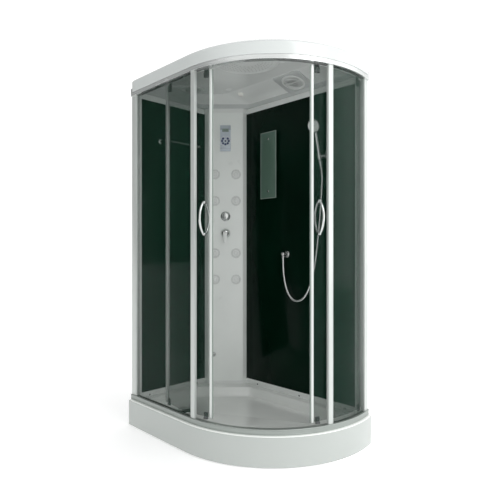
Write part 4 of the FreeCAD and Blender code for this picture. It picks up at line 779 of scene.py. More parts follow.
def repeated(name, item_shape, places, material, body="cabin", node=None, sharp=32):
    """Copies of one small shape, one in each frame of a list."""
    item_mesh = bpy.data.meshes.new(name + "_item")
    points, faces = item_shape
    item_mesh.from_pydata([Vector(point) * MM for point in points], [], faces)
    dots = bpy.data.meshes.new(name + "_points")
    dots.from_pydata([place.to_translation() * MM for place in places], [], [])
    turns = dots.attributes.new(TURN, "FLOAT_VECTOR", "POINT")
    for entry, place in zip(turns.data, places):
        entry.vector = place.to_euler()
    item, carrier = linked(name + "_item", item_mesh), linked(name + "_points", dots)
    mesh = run_group(carrier, REPEAT, {"Item": item, "Finish": material})
    mesh.attributes.remove(mesh.attributes[TURN])
    for thing in (item, carrier):
        bpy.data.objects.remove(thing)
    return settle(linked(name, mesh), body, node, sharp)


def circle_places(place, height, circles):
    """Frames on circles in a place's own x and y, for pairs of radius and count."""
    return [place @ Matrix.Translation((radius * math.cos(math.tau * step / count),
                                        radius * math.sin(math.tau * step / count), height))
            for radius, count in circles for step in range(count)]


print("tube, repeated and circle_places are ready")

# %% [markdown]
# ## Shower hose
# A metal hose is one length that hangs: it leaves the wall elbow, drops into its loop and rises to
# the nut under the handshower. The route's points were set against the photograph and stay a list.

# %%
HOSE_ROUTE = (
    (5, 325, 1006), (5, 325, 955), (9, 327, 895), (22, 328, 838), (46, 326, 786),
    (84, 323, 752), (134, 321, 748), (178, 321, 774), (208, 322, 822), (230, 324, 880),
    (252, 327, 975), (266, 331, 1085), (275, 337, 1200), (282, 342, 1315), (286, 347, 1420),
    (287, 351.4, 1493.7), (287, 335.9, 1551.7),
)


def hose_line():
    """Points along the route's spline, in metres."""
    route = path_object("hose_route", HOSE_ROUTE, 16)
    bpy.context.view_layer.update()
    mesh = bpy.data.meshes.new_from_object(route)
    line = [vertex.co.copy() for vertex in mesh.vertices]
    bpy.data.objects.remove(route)
    return line


def evenly(line, step):
    """The same line with points a step apart."""
    result = [line[0].copy()]
    left = step
    for start, end in zip(line, line[1:]):
        run = (end - start).length
        while run >= left:
            start = start + (end - start) * (left / (end - start).length)
            run = (end - start).length
            result.append(start.copy())
            left = step
        left -= run
    if (line[-1] - result[-1]).length > step * 0.3:
        result.append(line[-1].copy())
    else:
        result[-1] = line[-1].copy()
    return result


def ribbed_hose():
    line = hose_line()
    pitch, sides, radius = 0.0032, 14, 0.007
    stations = evenly(line, pitch / 4)
    side = Vector((1, 0, 0))
    loops = []
    for index, place in enumerate(stations):
        ahead = stations[min(index + 1, len(stations) - 1)]
        behind = stations[max(index - 1, 0)]
        along = (ahead - behind).normalized()
        side = (side - along * side.dot(along)).normalized()
        other = along.cross(side)
        swell = radius * (1.0, 0.965, 0.91, 0.965)[index % 4]
        loops.append([(place + (side * math.cos(math.tau * n / sides)
                                + other * math.sin(math.tau * n / sides)) * swell) / MM
                      for n in range(sides)])
    points, faces = rings(loops)
    mesh = bpy.data.meshes.new("hose")
    mesh.from_pydata([Vector(point) * MM for point in points], [], faces)
    mesh.materials.append(HOSE)
    hose = linked("hose", mesh)
    for polygon in mesh.polygons:
        polygon.use_smooth = True
    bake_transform(hose)
    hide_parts("shower_hose")


ribbed_hose()
tell("hose")

# %% [markdown]
# ## Tray
# The tray is pressed from one sheet of acrylic. A box with a cut basin would need booleans and
# would have hard corners. Here it is one skin of plan rings: from the drain hole across the floor,
# up the basin's wall, over the rim, down outside and back underneath.

# %%
DRAIN = (-350.0, -170.0)


def make_tray():
    def ring(front, back, height, cut):
        return plan_ring(front, back, back, height, cut)

    def drain_ring(radius, height):
        loop = []
        for x, y, level in plan_ring(100, 110, 110, height, 470):
            turn = math.atan2(y - DRAIN[1], x - DRAIN[0])
            loop.append((DRAIN[0] + radius * math.cos(turn), DRAIN[1] + radius * math.sin(turn),
                         level))
        return loop

    loops = [drain_ring(45, 95), drain_ring(60, 95.2)]
    basin = ((98, 110, 95.4, 468), (93, 105, 97.5, 458), (90.5, 102.5, 101, 452),
             (89, 101, 106, 448), (85, 97, 125, 440), (81, 93, 145, 434), (79, 91, 151, 432),
             (76, 88.5, 154, 429), (72, 85, 155, 424))
    loops += [ring(front, back, z, cut) for front, back, z, cut in basin]
    for inset, z in ((5, 155), (2.5, 154.8), (0.9, 153.8), (0.15, 152.3), (0.0, 150.1)):
        loops.append(ring(inset, inset, z, None))
    loops += [plan_ring(4.3, 0.0, 0.0, 150), plan_ring(4.3, 0.0, 0.0, 125),
              plan_ring(9.3, 5.0, 5.0, 125), plan_ring(9.3, 5.0, 5.0, 150),
              ring(73, 85, 150, 422), ring(91, 103, 90, 452), drain_ring(45, 90)]
    points, faces = rings(loops, close=True)
    form("tray", points, faces, ACRYLIC, node="shower_tray", sharp=40)


make_tray()
tell("tray")

# %% [markdown]
# ## Apron and drain
# The apron is a separate panel that clips under the rim, so it is its own sweep with a lip whose
# rounding is listed point by point. The drain's lid is a shallow turned cap with twelve dark slots,
# which are painted shade.

# %%
def make_apron():
    section = [(0.0, 4.0), (0.0, 144.0), (0.3, 146.6), (1.1, 148.6), (2.3, 149.6), (4.0, 149.7),
               (4.0, 3.0), (1.0, 3.0)]
    points, faces = swept_shape(section)
    form("apron", points, faces, APRON, node="front_apron", sharp=30)


def make_drain():
    place = frame_at((*DRAIN, 95), (1, 0, 0), (0, 1, 0))
    cover = turned_shape(rounded([(0, 4.0), (30, 3.9), (48, 3.2), (55, 1.2), (55.6, 0.2), (40, 0.2),
                                  (40, -4), (0, -4)], 1.2), 56)
    form("drain_lid", *moved(place, cover), CHROME, node="drain_cover")
    # Each slot is a dark bar of painted shade on the solid lid.
    slot, count, radius = slab_shape(3.0, 11.0, 3.5, 4.6, 1.4, 0.3, 3), 12, 34
    slots = [place @ Matrix.Rotation(math.tau * step / count, 4, "Z")
             @ Matrix.Translation((0, radius, 0)) for step in range(count)]
    repeated("drain_slots", slot, slots, SHADOW)


make_apron()
make_drain()
tell("apron and drain")

# %% [markdown]
# ## Rails
# The two rails are extrusions that were bent to the front's curve. Each has a groove for the fixed
# glass and a track for the doors. Small steps in the section give the thin shadow lines that the
# photograph shows along them.

# %%
def make_rails():
    bottom = [(14, 155), (14, 159.5), (15.4, 161), (15.4, 175.5), (14, 177), (14, 181),
              (15.3, 182.5), (26.9, 182.5), (26.9, 174.6), (33.1, 174.6), (33.1, 182.5),
              (39, 182.5), (41, 180.3), (47.5, 180.3), (50, 178), (50, 155)]
    form("lower_rail", *swept_shape(bottom), LOW_RAIL, node="bottom_rail", sharp=25)
    top = [(14, 1992), (14, 1997), (15, 1998), (15, 2002), (14, 2003), (14, 2035.4), (14.6, 2036),
           (18, 2036), (18, 2003), (50, 2003), (50, 1992), (49, 1991), (32.9, 1991),
           (32.9, 1999), (27.1, 1999), (27.1, 1991), (15, 1991)]
    form("upper_rail", *swept_shape(top), RAIL, node="top_rail", sharp=25)


make_rails()
tell("rails")

# %% [markdown]
# ## Uprights and wall channels
# Two uprights stand on the arc and hold the fixed glass between them and the wall channels. All
# are grooved bars. The right channel follows the arc, so its section is drawn in plan.

# %%
PROFILE_LOW, PROFILE_HIGH = 182.5, 1991.0
UPRIGHTS = (math.radians(3.24), math.radians(73.7))


def make_uprights():
    shapes = []
    for angle in UPRIGHTS:
        place = on_arc(CENTRE, GLASS_RADIUS, angle)
        section = grooved_section(29, 17, 8.5, grooves=(-7.5, 7.5))
        shapes.append(moved(place, upright_shape(section, PROFILE_LOW, PROFILE_HIGH)))
    form("glass_uprights", *joined(*shapes), ALUMINIUM, node="front_profiles", sharp=25)


def make_wall_channels():
    width, depth, proud = 50.0, 22.0, 8.5
    section = grooved_section(width, depth, proud, grooves=(-15, 15))
    place = frame_at((LEFT + width / 2, FRONT + GLASS_INSET, 0), (1, 0, 0), (0, 0, 1))
    left = moved(place, upright_shape(section, PROFILE_LOW, PROFILE_HIGH))
    start = wall_angle(GLASS_INSET) - width / GLASS_RADIUS
    face = GLASS_INSET - proud
    steps, grooves, groove_depth, clearance = 10, (3, 7), 1.2, 0.001

    def point(inset, step, dip=0.0):
        angle = start + (wall_angle(inset) - clearance - start) * step / steps
        radius = RADIUS - inset - dip
        return (CENTRE[0] + radius * math.sin(angle), CENTRE[1] - radius * math.cos(angle))

    outline = [point(face, step, groove_depth if step in grooves else 0.0)
               for step in range(steps + 1)]
    outline += [point(face + depth, step) for step in range(steps, -1, -1)]
    right = rings([[(x, y, z) for x, y in outline] for z in (PROFILE_LOW, PROFILE_HIGH)])
    form("wall_channels", *joined(left, right), ALUMINIUM, node="wall_profiles", sharp=25)


make_uprights()
make_wall_channels()
tell("uprights")

# %% [markdown]
# ## Fixed glass
# The left pane is flat and bends only behind its upright, so a raised outline is enough. The right
# pane is curved all along, so it is a sheet on the arc. Each ends inside a groove.

# %%
PANE_LOW, PANE_HIGH = 175.5, 1998.0
PANE_START = -558.0
IN_UPRIGHT, IN_CHANNEL = 6.5, 42.0     # a pane's edge from the upright's middle and from the wall


def make_left_pane():
    stop = UPRIGHTS[0] - IN_UPRIGHT / GLASS_RADIUS
    section = []
    for side in (-HALF_GLASS, HALF_GLASS):
        inset = GLASS_INSET + side
        face = [(PANE_START, FRONT + inset), (CENTRE[0], FRONT + inset),
                (CENTRE[0] + (RADIUS - inset) * math.sin(stop),
                 CENTRE[1] - (RADIUS - inset) * math.cos(stop))]
        section += face if side < 0 else list(reversed(face))
    shape = rings([[(x, y, z) for x, y in section] for z in (PANE_LOW, PANE_HIGH)])
    form("left_fixed_pane", *shape, GLASS, node="left_fixed_glass", sharp=20)


def make_right_pane():
    first = UPRIGHTS[1] + IN_UPRIGHT / GLASS_RADIUS
    last = wall_angle(GLASS_INSET) - IN_CHANNEL / GLASS_RADIUS
    shape = sheet_shape(CENTRE, GLASS_RADIUS + HALF_GLASS, GLASS_RADIUS - HALF_GLASS, first, last,
                        PANE_LOW, PANE_HIGH, steps=24)
    form("right_fixed_pane", *shape, GLASS, node="right_fixed_glass", sharp=30)


make_left_pane()
make_right_pane()
tell("fixed glass")

# %% [markdown]
# ## Door handles
# A bow handle is bent from one bar and screwed through the glass, inside and outside. Its curve is
# an arc in a frame that stands on the glass, so it follows each door wherever the door is.

# %%
def make_handle(side, centre, angle):
    height, reach, bow = 1222.0, 82.0, math.radians(45)
    bow_radius = reach / math.sin(bow)
    stand_off, steps = 5.0, 26
    pieces = []
    for name, face, sign in (("outer", DOOR_RADIUS + HALF_GLASS, 1),
                             ("inner", DOOR_RADIUS - HALF_GLASS, -1)):
        place = on_arc(centre, face, angle, height)
        path = []
        for step in range(steps + 1):
            turn = -bow + 2 * bow * step / steps
            out = stand_off + bow_radius * (math.cos(turn) - math.cos(bow))
            path.append(tuple(place @ Vector((0, bow_radius * math.sin(turn), out * sign))))
        tube("%s_%s_bow" % (side, name), path, 5.9, CHROME, side + "_door", sides=20)
        for end in (-1, 1):
            base = rounded([(8.8, 0.25), (8.8, 2.2), (7.6, 3.6), (6.6, 5.2), (6.3, 7.5),
                            (0, 7.8)], 0.6)
            shape = turned_shape([(0, 0.25)] + base, 28)
            flip = Matrix.Translation((0, reach * end, 0))
            turn = Matrix.Identity(4) if sign > 0 else Matrix.Rotation(math.pi, 4, "Y")
            pieces.append(moved(place @ flip @ turn, shape))
    form(side + "_handle_bases", *joined(*pieces), CHROME, side + "_door",
         node=side + "_door_handle")


print("make_handle is ready for both doors")

# %% [markdown]
# ## Sliding doors
# Each door is curved glass with a slim leading profile and its seal, a wider tail profile, and
# the handles. Everything is placed by its distance from the leading edge, because that is how a
# door is cut, and the right door is simply measured the other way. Its roller carriers keep the
# CAD's shape.

# %%
DOOR_LOW, DOOR_HIGH = 198.0, 1987.0
DOOR_WIDTH = math.radians(40.4) * DOOR_RADIUS
LEFT_LEAD = math.radians(20.74)
RIGHT_LEAD = math.radians(38.45 + 25.17 + 0.1)     # the meeting angle, the travel and a gap
HANDLE_FROM_LEAD = 52.0
GLASS_FROM_LEAD, GLASS_FROM_TAIL = 7.0, 3.0
LEAD_START, LEAD_WIDTH, TAIL_WIDTH, SEAL_MIDDLE = 4, 14, 28, 1.85


def make_door(side, centre, lead, direction):
    body = side + "_door"

    def at(length):
        return lead - length / DOOR_RADIUS * direction

    span = sorted((at(GLASS_FROM_LEAD), at(DOOR_WIDTH - GLASS_FROM_TAIL)))
    pane = sheet_shape(centre, DOOR_RADIUS + HALF_GLASS, DOOR_RADIUS - HALF_GLASS, *span,
                       DOOR_LOW, DOOR_HIGH, steps=44)
    form(side + "_pane", *pane, GLASS, body, node=side + "_door_glass", sharp=30)
    lead_place = on_arc(centre, DOOR_RADIUS, at(LEAD_START + LEAD_WIDTH / 2))
    tail_place = on_arc(centre, DOOR_RADIUS, at(DOOR_WIDTH - TAIL_WIDTH / 2))
    low, high = DOOR_LOW - 4, DOOR_HIGH - 2
    lead_section = grooved_section(LEAD_WIDTH, 13, 6.5, lip=2.2)
    tail_section = grooved_section(TAIL_WIDTH, 15, 4.5, grooves=(-6.5, 6.5))
    form(side + "_lead_profile", *moved(lead_place, upright_shape(lead_section, low, high)),
         EDGE_PROFILE, body, node=side + "_door_frame", sharp=25)
    form(side + "_tail_profile", *moved(tail_place, upright_shape(tail_section, low, high)),
         ALUMINIUM, body, sharp=25)
    lip = [(-1.8, -4), (1.8, -4), (1.6, 4), (0.2, 4), (0.0, -1.5), (-0.2, 4), (-1.6, 4)]
    seal_place = on_arc(centre, DOOR_RADIUS, at(SEAL_MIDDLE))
    form(side + "_magnetic_seal", *moved(seal_place, upright_shape(lip, low, high)), SEAL, body)
    make_handle(side, centre, at(HANDLE_FROM_LEAD))


make_door("left", LEFT_CENTRE, LEFT_LEAD, 1)
make_door("right", CENTRE, RIGHT_LEAD, -1)
tell("doors")

# %% [markdown]
# ## Walls
# Two dark glossy panels sit in pale frames that run along the tray, up the free edges and under
# the roof. Small dark screws hold the lower strips. The real frames are plain bars, so they are
# drawn as bars, and a live bevel softens them.

# %%
LONG_PANEL, SHORT_PANEL = (-373, 511), (-343.5, 173)     # from end to end along x and along y
PANEL_HEIGHT, PANEL_MIDDLE = 1807.5, 1084.25
STILE_LOW, STILE_HIGH = 188.5, 1980.0


def make_panels():
    off, wall = 35, 5.0
    low, high = LONG_PANEL
    place = frame_at(((high + low) / 2, BACK - off, PANEL_MIDDLE), (1, 0, 0), (0, 0, 1))
    back = slab_shape(high - low, PANEL_HEIGHT, 0.0, wall, 1.0, 0.4, 2)
    form("long_panel", *moved(place, back), DARK, node="long_back_panel")
    low, high = SHORT_PANEL
    place = frame_at((LEFT + off, (high + low) / 2, PANEL_MIDDLE), (0, 1, 0), (0, 0, 1))
    side = slab_shape(high - low, PANEL_HEIGHT, 0.0, wall, 1.0, 0.4, 2)
    form("short_panel", *moved(place, side), DARK, node="short_back_panel")


def strip_section(low, high):
    """A strip's section as (depth from the wall, height), with its outer corners cut."""
    depth, lip = 43.0, 2.0
    return [(0, low), (0, high), (depth - lip, high), (depth, high - lip), (depth, low + lip),
            (depth - lip, low)]


def make_panel_frames():
    shapes = []
    for low, high in ((TRAY_TOP, STILE_LOW), (STILE_HIGH, ROOF_LOW)):
        section = strip_section(low, high)
        loops = [[(x, BACK - depth, z) for depth, z in section] for x in (-354.7, 517.0)]
        shapes.append(rings(loops))
        loops = [[(LEFT + depth, y, z) for depth, z in section] for y in (-349.5, 154.7)]
        shapes.append(rings(loops))
    for stile in ([(503, 400), (503, 359), (505, 357), (515, 357), (517, 359), (517, 400)],
                  [(-600, -349.5), (-559, -349.5), (-557, -347.5), (-557, -337.5),
                   (-559, -335.5), (-600, -335.5)]):
        shapes.append(rings([[(x, y, z) for x, y in stile] for z in (STILE_LOW, STILE_HIGH)]))
    form("wall_strips", *joined(*shapes), TRIM, node="panel_frames", sharp=25, bevel=0.8)
    screw = turned_shape(rounded([(0, 0), (5, 0), (4.6, 1.4), (0, 1.8)], 0.4), 20)
    height, off = 166, 43.0
    screws = [on_long_wall(x, height, off) for x in (-250, 106, 440)]
    screws += [on_short_wall(y, height, off) for y in (-280, -116, 90)]
    repeated("strip_screws", screw, screws, SHADOW)


make_panels()
make_panel_frames()
tell("walls")

# %% [markdown]
# ## Corner column
# The column is one bent sheet with a diagonal face that carries all the controls. It is drawn in
# plan with rounded bends and raised; a plinth below and a head strip above are the same section a
# little further out, so the three always fit.

# %%
def column_section(grow, wall):
    """The column's sheet in plan, with rounded bends."""
    far, near, tail = 241.0 + grow, 74.0 + grow * 0.414, 40.3
    outer = rounded([(tail, far), (near, far), (far, near), (far, tail)], 6.0, 6)
    slip = wall * 0.414
    inner = rounded([(far - wall, tail), (far - wall, near - slip), (near - slip, far - wall),
                     (tail, far - wall)], 4.0, 6)
    return [(LEFT + a, BACK - b) for a, b in outer + inner]


def make_column():
    bottom, top = 176.0, 1987.0
    section = column_section(0.0, 3.5)
    form("column_sheet", *rings([[(x, y, z) for x, y in section] for z in (bottom, top)]),
         COLUMN, node="corner_column", sharp=28)
    section = column_section(4.0, 7.5)
    low = rings([[(x, y, z) for x, y in section] for z in (TRAY_TOP, bottom)])
    high = rings([[(x, y, z) for x, y in section] for z in (top, ROOF_LOW)])
    form("column_bands", *joined(low, high), TRIM, node="column_caps", sharp=28, bevel=1.0)


make_column()
tell("column")

# %% [markdown]
# ## Display digits
# A digit is made of seven bars. A font would bring its own shapes, so the bars are laid out by
# name, and each digit lists the ones that are lit.

# %%
def segment_shapes(width, height, digit):
    """The bars of one seven-bar digit, lying in local x and y."""
    thick = 1.0
    bars = {"top": (0, height / 2, 1), "middle": (0, 0, 1), "bottom": (0, -height / 2, 1),
            "high_left": (-width / 2, height / 4, 0), "high_right": (width / 2, height / 4, 0),
            "low_left": (-width / 2, -height / 4, 0), "low_right": (width / 2, -height / 4, 0)}
    lit = {2: ("top", "high_right", "middle", "low_left", "bottom"),
           3: ("top", "high_right", "middle", "low_right", "bottom"),
           8: tuple(bars), 0: tuple(name for name in bars if name != "middle"),
           4: ("high_left", "high_right", "middle", "low_right")}[digit]
    shapes = []
    for name in lit:
        x, y, flat = bars[name]
        size_x, size_y = (width - thick, thick) if flat else (thick, height / 2 - thick)
        shape = slab_shape(size_x, size_y, 0.0, 0.12, 0.2, 0.03, 1)
        shapes.append(moved(Matrix.Translation((x, y, 0)), shape))
    return shapes


print("a digit 8 has", len(segment_shapes(5.0, 11.0, 8)), "bars")

# %% [markdown]
# ## Control panel
# The silver plate keeps its CAD shape. On it go a display pane and a ring of seven keys round a
# centre one. Every key is a turned cap on a body of its own, so that it can be pressed.

# %%
KEYS_HEIGHT, KEYS_RADIUS, DISPLAY_HEIGHT, DISPLAY_FACE = 1793.5, 22.5, 1866, 8.5


def make_display():
    rims = [turned_shape(rounded([(outer, 7.9), (outer, 8.5), (outer - 0.9, 8.9),
                                  (outer - 1.9, 8.5), (outer - 1.9, 7.9), (outer, 7.9)], 0.3), 56)
            for outer in (33.6, 10.6)]
    form("button_rims", *moved(on_column(0, KEYS_HEIGHT), joined(*rims)), TRIM)
    pane = slab_shape(44, 22, 6.0, DISPLAY_FACE, 1.2, 0.3, 3)
    form("display_pane", *moved(on_column(0, DISPLAY_HEIGHT), pane), LCD, node="display")
    place = on_column(0, DISPLAY_HEIGHT, DISPLAY_FACE)
    shapes = []
    for x, digit in ((-14, 2), (-6, 3), (6, 0), (14, 4)):
        shapes += [moved(place @ Matrix.Translation((x, 0, 0)), shape)
                   for shape in segment_shapes(5.0, 11.0, digit)]
    dot = slab_shape(1.1, 1.1, 0.0, 0.12, 0.2, 0.03, 1)
    shapes += [moved(place @ Matrix.Translation((0, y, 0)), dot) for y in (-2.4, 2.4)]
    form("display_digits", *joined(*shapes), LCD_INK)


def make_keys():
    cap = [(0, 2.2), (7.2, 2.2), (7.5, 3.0), (7.5, 9.4), (7.0, 9.9), (5.2, 10.0), (0, 9.7)]
    for number, degrees in enumerate(range(-135, 136, 45), start=1):
        turn = math.radians(degrees)
        place = on_column(KEYS_RADIUS * math.sin(turn), KEYS_HEIGHT - KEYS_RADIUS * math.cos(turn))
        form("ring_key_%d" % number, *moved(place, turned_shape(rounded(cap, 0.5, 3), 28)), BLUE,
             "ring_button_%d" % number, node="ring_button_%d" % number)
    cap = [(0, 2.2), (5.8, 2.2), (6.0, 9.3), (5.5, 9.9), (0, 9.6)]
    form("centre_key", *moved(on_column(0, KEYS_HEIGHT), turned_shape(rounded(cap, 0.5, 3), 28)),
         BLUE, "centre_button", node="centre_button")


make_display()
make_keys()
tell("control panel")

# %% [markdown]
# ## Body jets
# Eight jets stand in two rows on the column. A jet is turned: a flat flange, a raised ring and a
# dome with ten small nozzles. It is made once and repeated in eight frames. White on white shows
# little, so thin dark rings of painted shade are let into its grooves.

# %%
JET_HEIGHTS, JET_ACROSS = (1569.0, 1390.0, 1036.5, 859.0), (-70.5, 70.5)
NOZZLE_CIRCLE = (16.5, 10)             # its radius and how many nozzles stand on it


def make_jets():
    body = [(0, 0.2), (32, 0.2), (32, 2.4), (30.4, 4.0), (27.0, 4.4), (25.6, 3.6), (24.4, 4.6),
            (20, 6.9), (13.5, 8.2), (12.6, 7.4), (11.6, 8.4), (7, 9.6), (6.4, 10.8), (0, 11.0)]
    shape = turned_shape(rounded(body, 0.7, 3), 48)
    nozzle = turned_shape(rounded([(1.5, 0), (1.5, 1.2), (0.9, 1.5), (0, 1.4)], 0.3, 2), 10)
    places = [on_column(across, height) for across in JET_ACROSS for height in JET_HEIGHTS]
    repeated("jet_faces", shape, places, JET, node="body_jets")
    # Thin dark rings of painted shade in the jet's grooves.
    groove_shades = [turned_shape([(inner, low), (outer, low), (outer, high), (inner, high),
                           (inner, low)], 40)
             for inner, outer, low, high in ((30.9, 32.0, 1.6, 3.9), (24.6, 26.2, 3.4, 4.35),
                                             (11.3, 12.7, 7.0, 8.15))]
    repeated("jet_seams", joined(*groove_shades), places, GROOVE_SHADE)
    nozzles = [spot for place in places for spot in circle_places(place, 7.2, [NOZZLE_CIRCLE])]
    repeated("jet_nozzles", nozzle, nozzles, TRIM)


make_jets()
tell("jets")

# %% [markdown]
# ## Diverter, mixer and steam outlet
# The diverter is a dial with a ridge to grip. The mixer is a dome that turns, with a lever that
# lifts on it. The lever swells and thins along its length, so it is skinned over flattened rings
# from a short table of height, place, thickness and half width.

# %%
DIVERTER_HEIGHT, MIXER_HEIGHT = 1286, 1171


def make_diverter():
    skirt = [(0, 0.3), (33, 0.3), (33, 2.5), (31, 5.2), (27, 7.0), (24.5, 9.5), (23.6, 20),
             (22.6, 27), (19.5, 29.6), (0, 30.0)]
    place = on_column(0, DIVERTER_HEIGHT)
    dial = turned_shape(rounded(skirt, 2.0, 4), 56)
    ridge = moved(Matrix.Translation((0, 11, 0)), slab_shape(8.0, 26.0, 24.0, 33.4, 3.6, 1.6, 5))
    form("diverter_dial", *moved(place, joined(dial, ridge)), CHROME, "diverter",
         node="diverter_knob")


def make_mixer():
    dome = [(0, 0.3), (32, 0.3), (32, 2.5), (30, 5.5), (28.5, 8), (27.5, 16), (25, 25), (20, 31.5),
            (12, 35), (0, 36)]
    form("mixer_dome", *moved(on_column(0, MIXER_HEIGHT), turned_shape(rounded(dome, 4.0, 5), 56)),
         CHROME, "mixer", node="mixer_cap")


def make_lever():
    steps = 20
    loops = []
    spine = ((6.7, 42.3, 2.0, 8.0), (5.6, 39.3, 8.0, 11.0), (3.0, 37.2, 12.2, 13.0),
             (0.0, 36.5, 13.6, 13.8), (-4.0, 37.5, 11.4, 14.0), (-12.0, 39.4, 8.2, 13.8),
             (-30.0, 39.5, 7.7, 12.8), (-52.0, 39.6, 7.4, 12.0), (-61.0, 40.0, 6.7, 10.6),
             (-65.6, 41.4, 3.6, 6.0))
    for height, low, thick, half in spine:
        loop = []
        for step in range(steps):
            turn = math.tau * step / steps
            x = half * math.copysign(abs(math.cos(turn)) ** 0.6, math.cos(turn))
            z = low + thick / 2 + thick / 2 * math.copysign(abs(math.sin(turn)) ** 0.8,
                                                            math.sin(turn))
            loop.append((x, height, z))
        loops.append(loop)
    paddle = rings(list(reversed(loops)))
    form("lever_paddle", *moved(on_column(0, MIXER_HEIGHT), paddle), JET, "lever",
         node="mixer_lever", sharp=45)


def make_steam_outlet():
    body = [(0, 0.2), (17, 0.2), (17, 3), (13.5, 8.5), (9, 9.1), (8.2, 7.6), (0, 7.4)]
    form("steam_nozzle", *moved(on_column(-82, 352), turned_shape(rounded(body, 0.8, 4), 40)),
         CHROME, node="steam_outlet")


make_diverter()
make_mixer()
make_lever()
make_steam_outlet()
tell("valves")

# %% [markdown]
# ## Mirror
# The mirror is a slim pane on two stand-off pins. Its pale bevel is four separate faces, because
# the photograph shows it as a bright line round a green field.

# %%
MIRROR_X, MIRROR_HEIGHT, MIRROR_SIZE = -139.5, 1606, (139, 432)


def make_mirror():
    place = on_long_wall(MIRROR_X, MIRROR_HEIGHT, 55.0)
    # The pane's dark green is partly a painted reflection.
    form("mirror_pane", *moved(place, slab_shape(*MIRROR_SIZE, 0.0, 3.4, 1.5, 0.5, 3)), MIRROR,
         node="mirror")
    # The pale bevel faces are a painted highlight, a bright line round the pane.
    edges = []
    w, h, b = MIRROR_SIZE[0] / 2, MIRROR_SIZE[1] / 2, 5.5
    outer = [(-w, -h, 3.0), (w, -h, 3.0), (w, h, 3.0), (-w, h, 3.0)]
    inner = [(b - w, b - h, 4.0), (w - b, b - h, 4.0), (w - b, h - b, 4.0), (b - w, h - b, 4.0)]
    for first in range(4):
        after = (first + 1) % 4
        edges.append(([outer[first], outer[after], inner[after], inner[first]], [(0, 1, 2, 3)]))
    form("mirror_bevels", *moved(place, joined(*edges)), BEVEL, sharp=10)
    pins = []
    for height in (1438.0, 1775.0):
        spot = on_long_wall(MIRROR_X, height)
        pins.append(moved(spot, turned_shape(rounded(
            [(0, 0), (7, 0), (7, 14.8), (4.2, 15), (4.2, 19.2), (7, 19.4), (7, 21.6), (5.6, 23),
             (0, 23)], 0.7, 3), 28)))
    form("mirror_pins", *joined(*pins), CHROME)


make_mirror()
tell("mirror")

# %% [markdown]
# ## Towel bar, hose elbow and riser rail
# Chrome fittings on the walls share one kind of post: a flat rose, a neck and a plain end. The
# slider is a turned block on the riser's tube, with an arm that carries the handshower's holder.

# %%
ELBOW = (5, 325, 1032.0)
RISER_X, RISER_Y, SLIDER_HEIGHT = 345.0, 323.0, 1600


def wall_post(height, radius, rose):
    """The profile of a turned post that stands on a wall."""
    return rounded([(0, 0), (rose, 0), (rose, 2.6), (rose - 2.2, 4.6), (radius + 1.6, 5.4),
                    (radius, 8.5), (radius, height - 1.5), (radius - 1.5, height), (0, height)],
                   0.8, 3)


def make_towel_bar():
    near, far, height, bar_x = -200.0, 70.0, 1738.0, -505
    post = turned_shape(wall_post(62.5, 8.0, 15.0), 32)
    posts = [moved(on_short_wall(y, height), post) for y in (near, far)]
    form("towel_posts", *joined(*posts), CHROME, node="towel_bar")
    path = [(bar_x, y, height) for y in (near, (near + far) / 2, far)]
    tube("towel_tube", path, 6.0, CHROME, sides=24)


def make_elbow():
    rose = turned_shape(rounded([(0, 0), (21, 0), (21, 2.4), (18.6, 5.2), (12.4, 6), (11, 9),
                                 (11, 30)], 0.9, 3), 40)
    form("elbow_rose", *moved(on_long_wall(ELBOW[0], ELBOW[2]), rose), CHROME, node="hose_elbow")
    ball = turned_shape([(12.9 * math.cos(math.radians(turn)), 12.9 * math.sin(math.radians(turn)))
                         for turn in range(-88, 89, 11)], 32)
    form("elbow_ball", *moved(frame_at(ELBOW, (1, 0, 0), (0, 0, 1)), ball), CHROME)
    outlet = turned_shape(rounded([(0, 8), (8.6, 9), (8.6, 17), (9.0, 17.4), (9.0, 25.4),
                                   (8.2, 26), (0, 26)], 0.5, 3), 32)
    form("elbow_outlet", *moved(frame_at(ELBOW, (1, 0, 0), (0, -1, 0)), outlet), CHROME)


def make_riser():
    bar = turned_shape(rounded([(0, 1240), (7.4, 1240), (9, 1242), (9, 1778), (7.4, 1780),
                                (0, 1780)], 0.9, 3), 32)
    foot = Matrix.Translation((RISER_X, RISER_Y, 0))
    form("riser_tube", *moved(foot, bar), CHROME, node="riser_rail")
    post = turned_shape(wall_post(45.0, 10.8, 16.0), 36)
    brackets = [moved(on_long_wall(RISER_X, height), post) for height in (1262.0, 1758.0)]
    form("riser_brackets", *joined(*brackets), CHROME)
    block = turned_shape(rounded([(9.35, 1581), (14.6, 1581), (16, 1584), (16, 1590),
                                  (15.2, 1592), (15.2, 1608), (16, 1610), (16, 1616),
                                  (14.6, 1619), (9.35, 1619)], 0.9, 3), 40)
    arm = turned_shape(rounded([(0, 10), (8, 10), (7.2, 13), (7.2, 38), (8, 42.6), (0, 42.6)],
                               0.6, 3), 24)
    left = frame_at((RISER_X, RISER_Y, SLIDER_HEIGHT), (0, 1, 0), (0, 0, -1))
    form("slider_block", *joined(moved(foot, block), moved(left, arm)), CHROME, "slider",
         node="slider")


make_towel_bar()
make_elbow()
make_riser()
tell("wall fittings")

# %% [markdown]
# ## Handshower and its holder
# Both lean out from the wall. They share one frame, which is turned once, so that grip, nut and
# holder stay on one axis. The head faces down and forwards, and its nozzles stand in rings.

# %%
LEAN = math.radians(15)
HOLDER = Matrix.Translation((287, RISER_Y, SLIDER_HEIGHT)) @ Matrix.Rotation(LEAN, 4, "X")


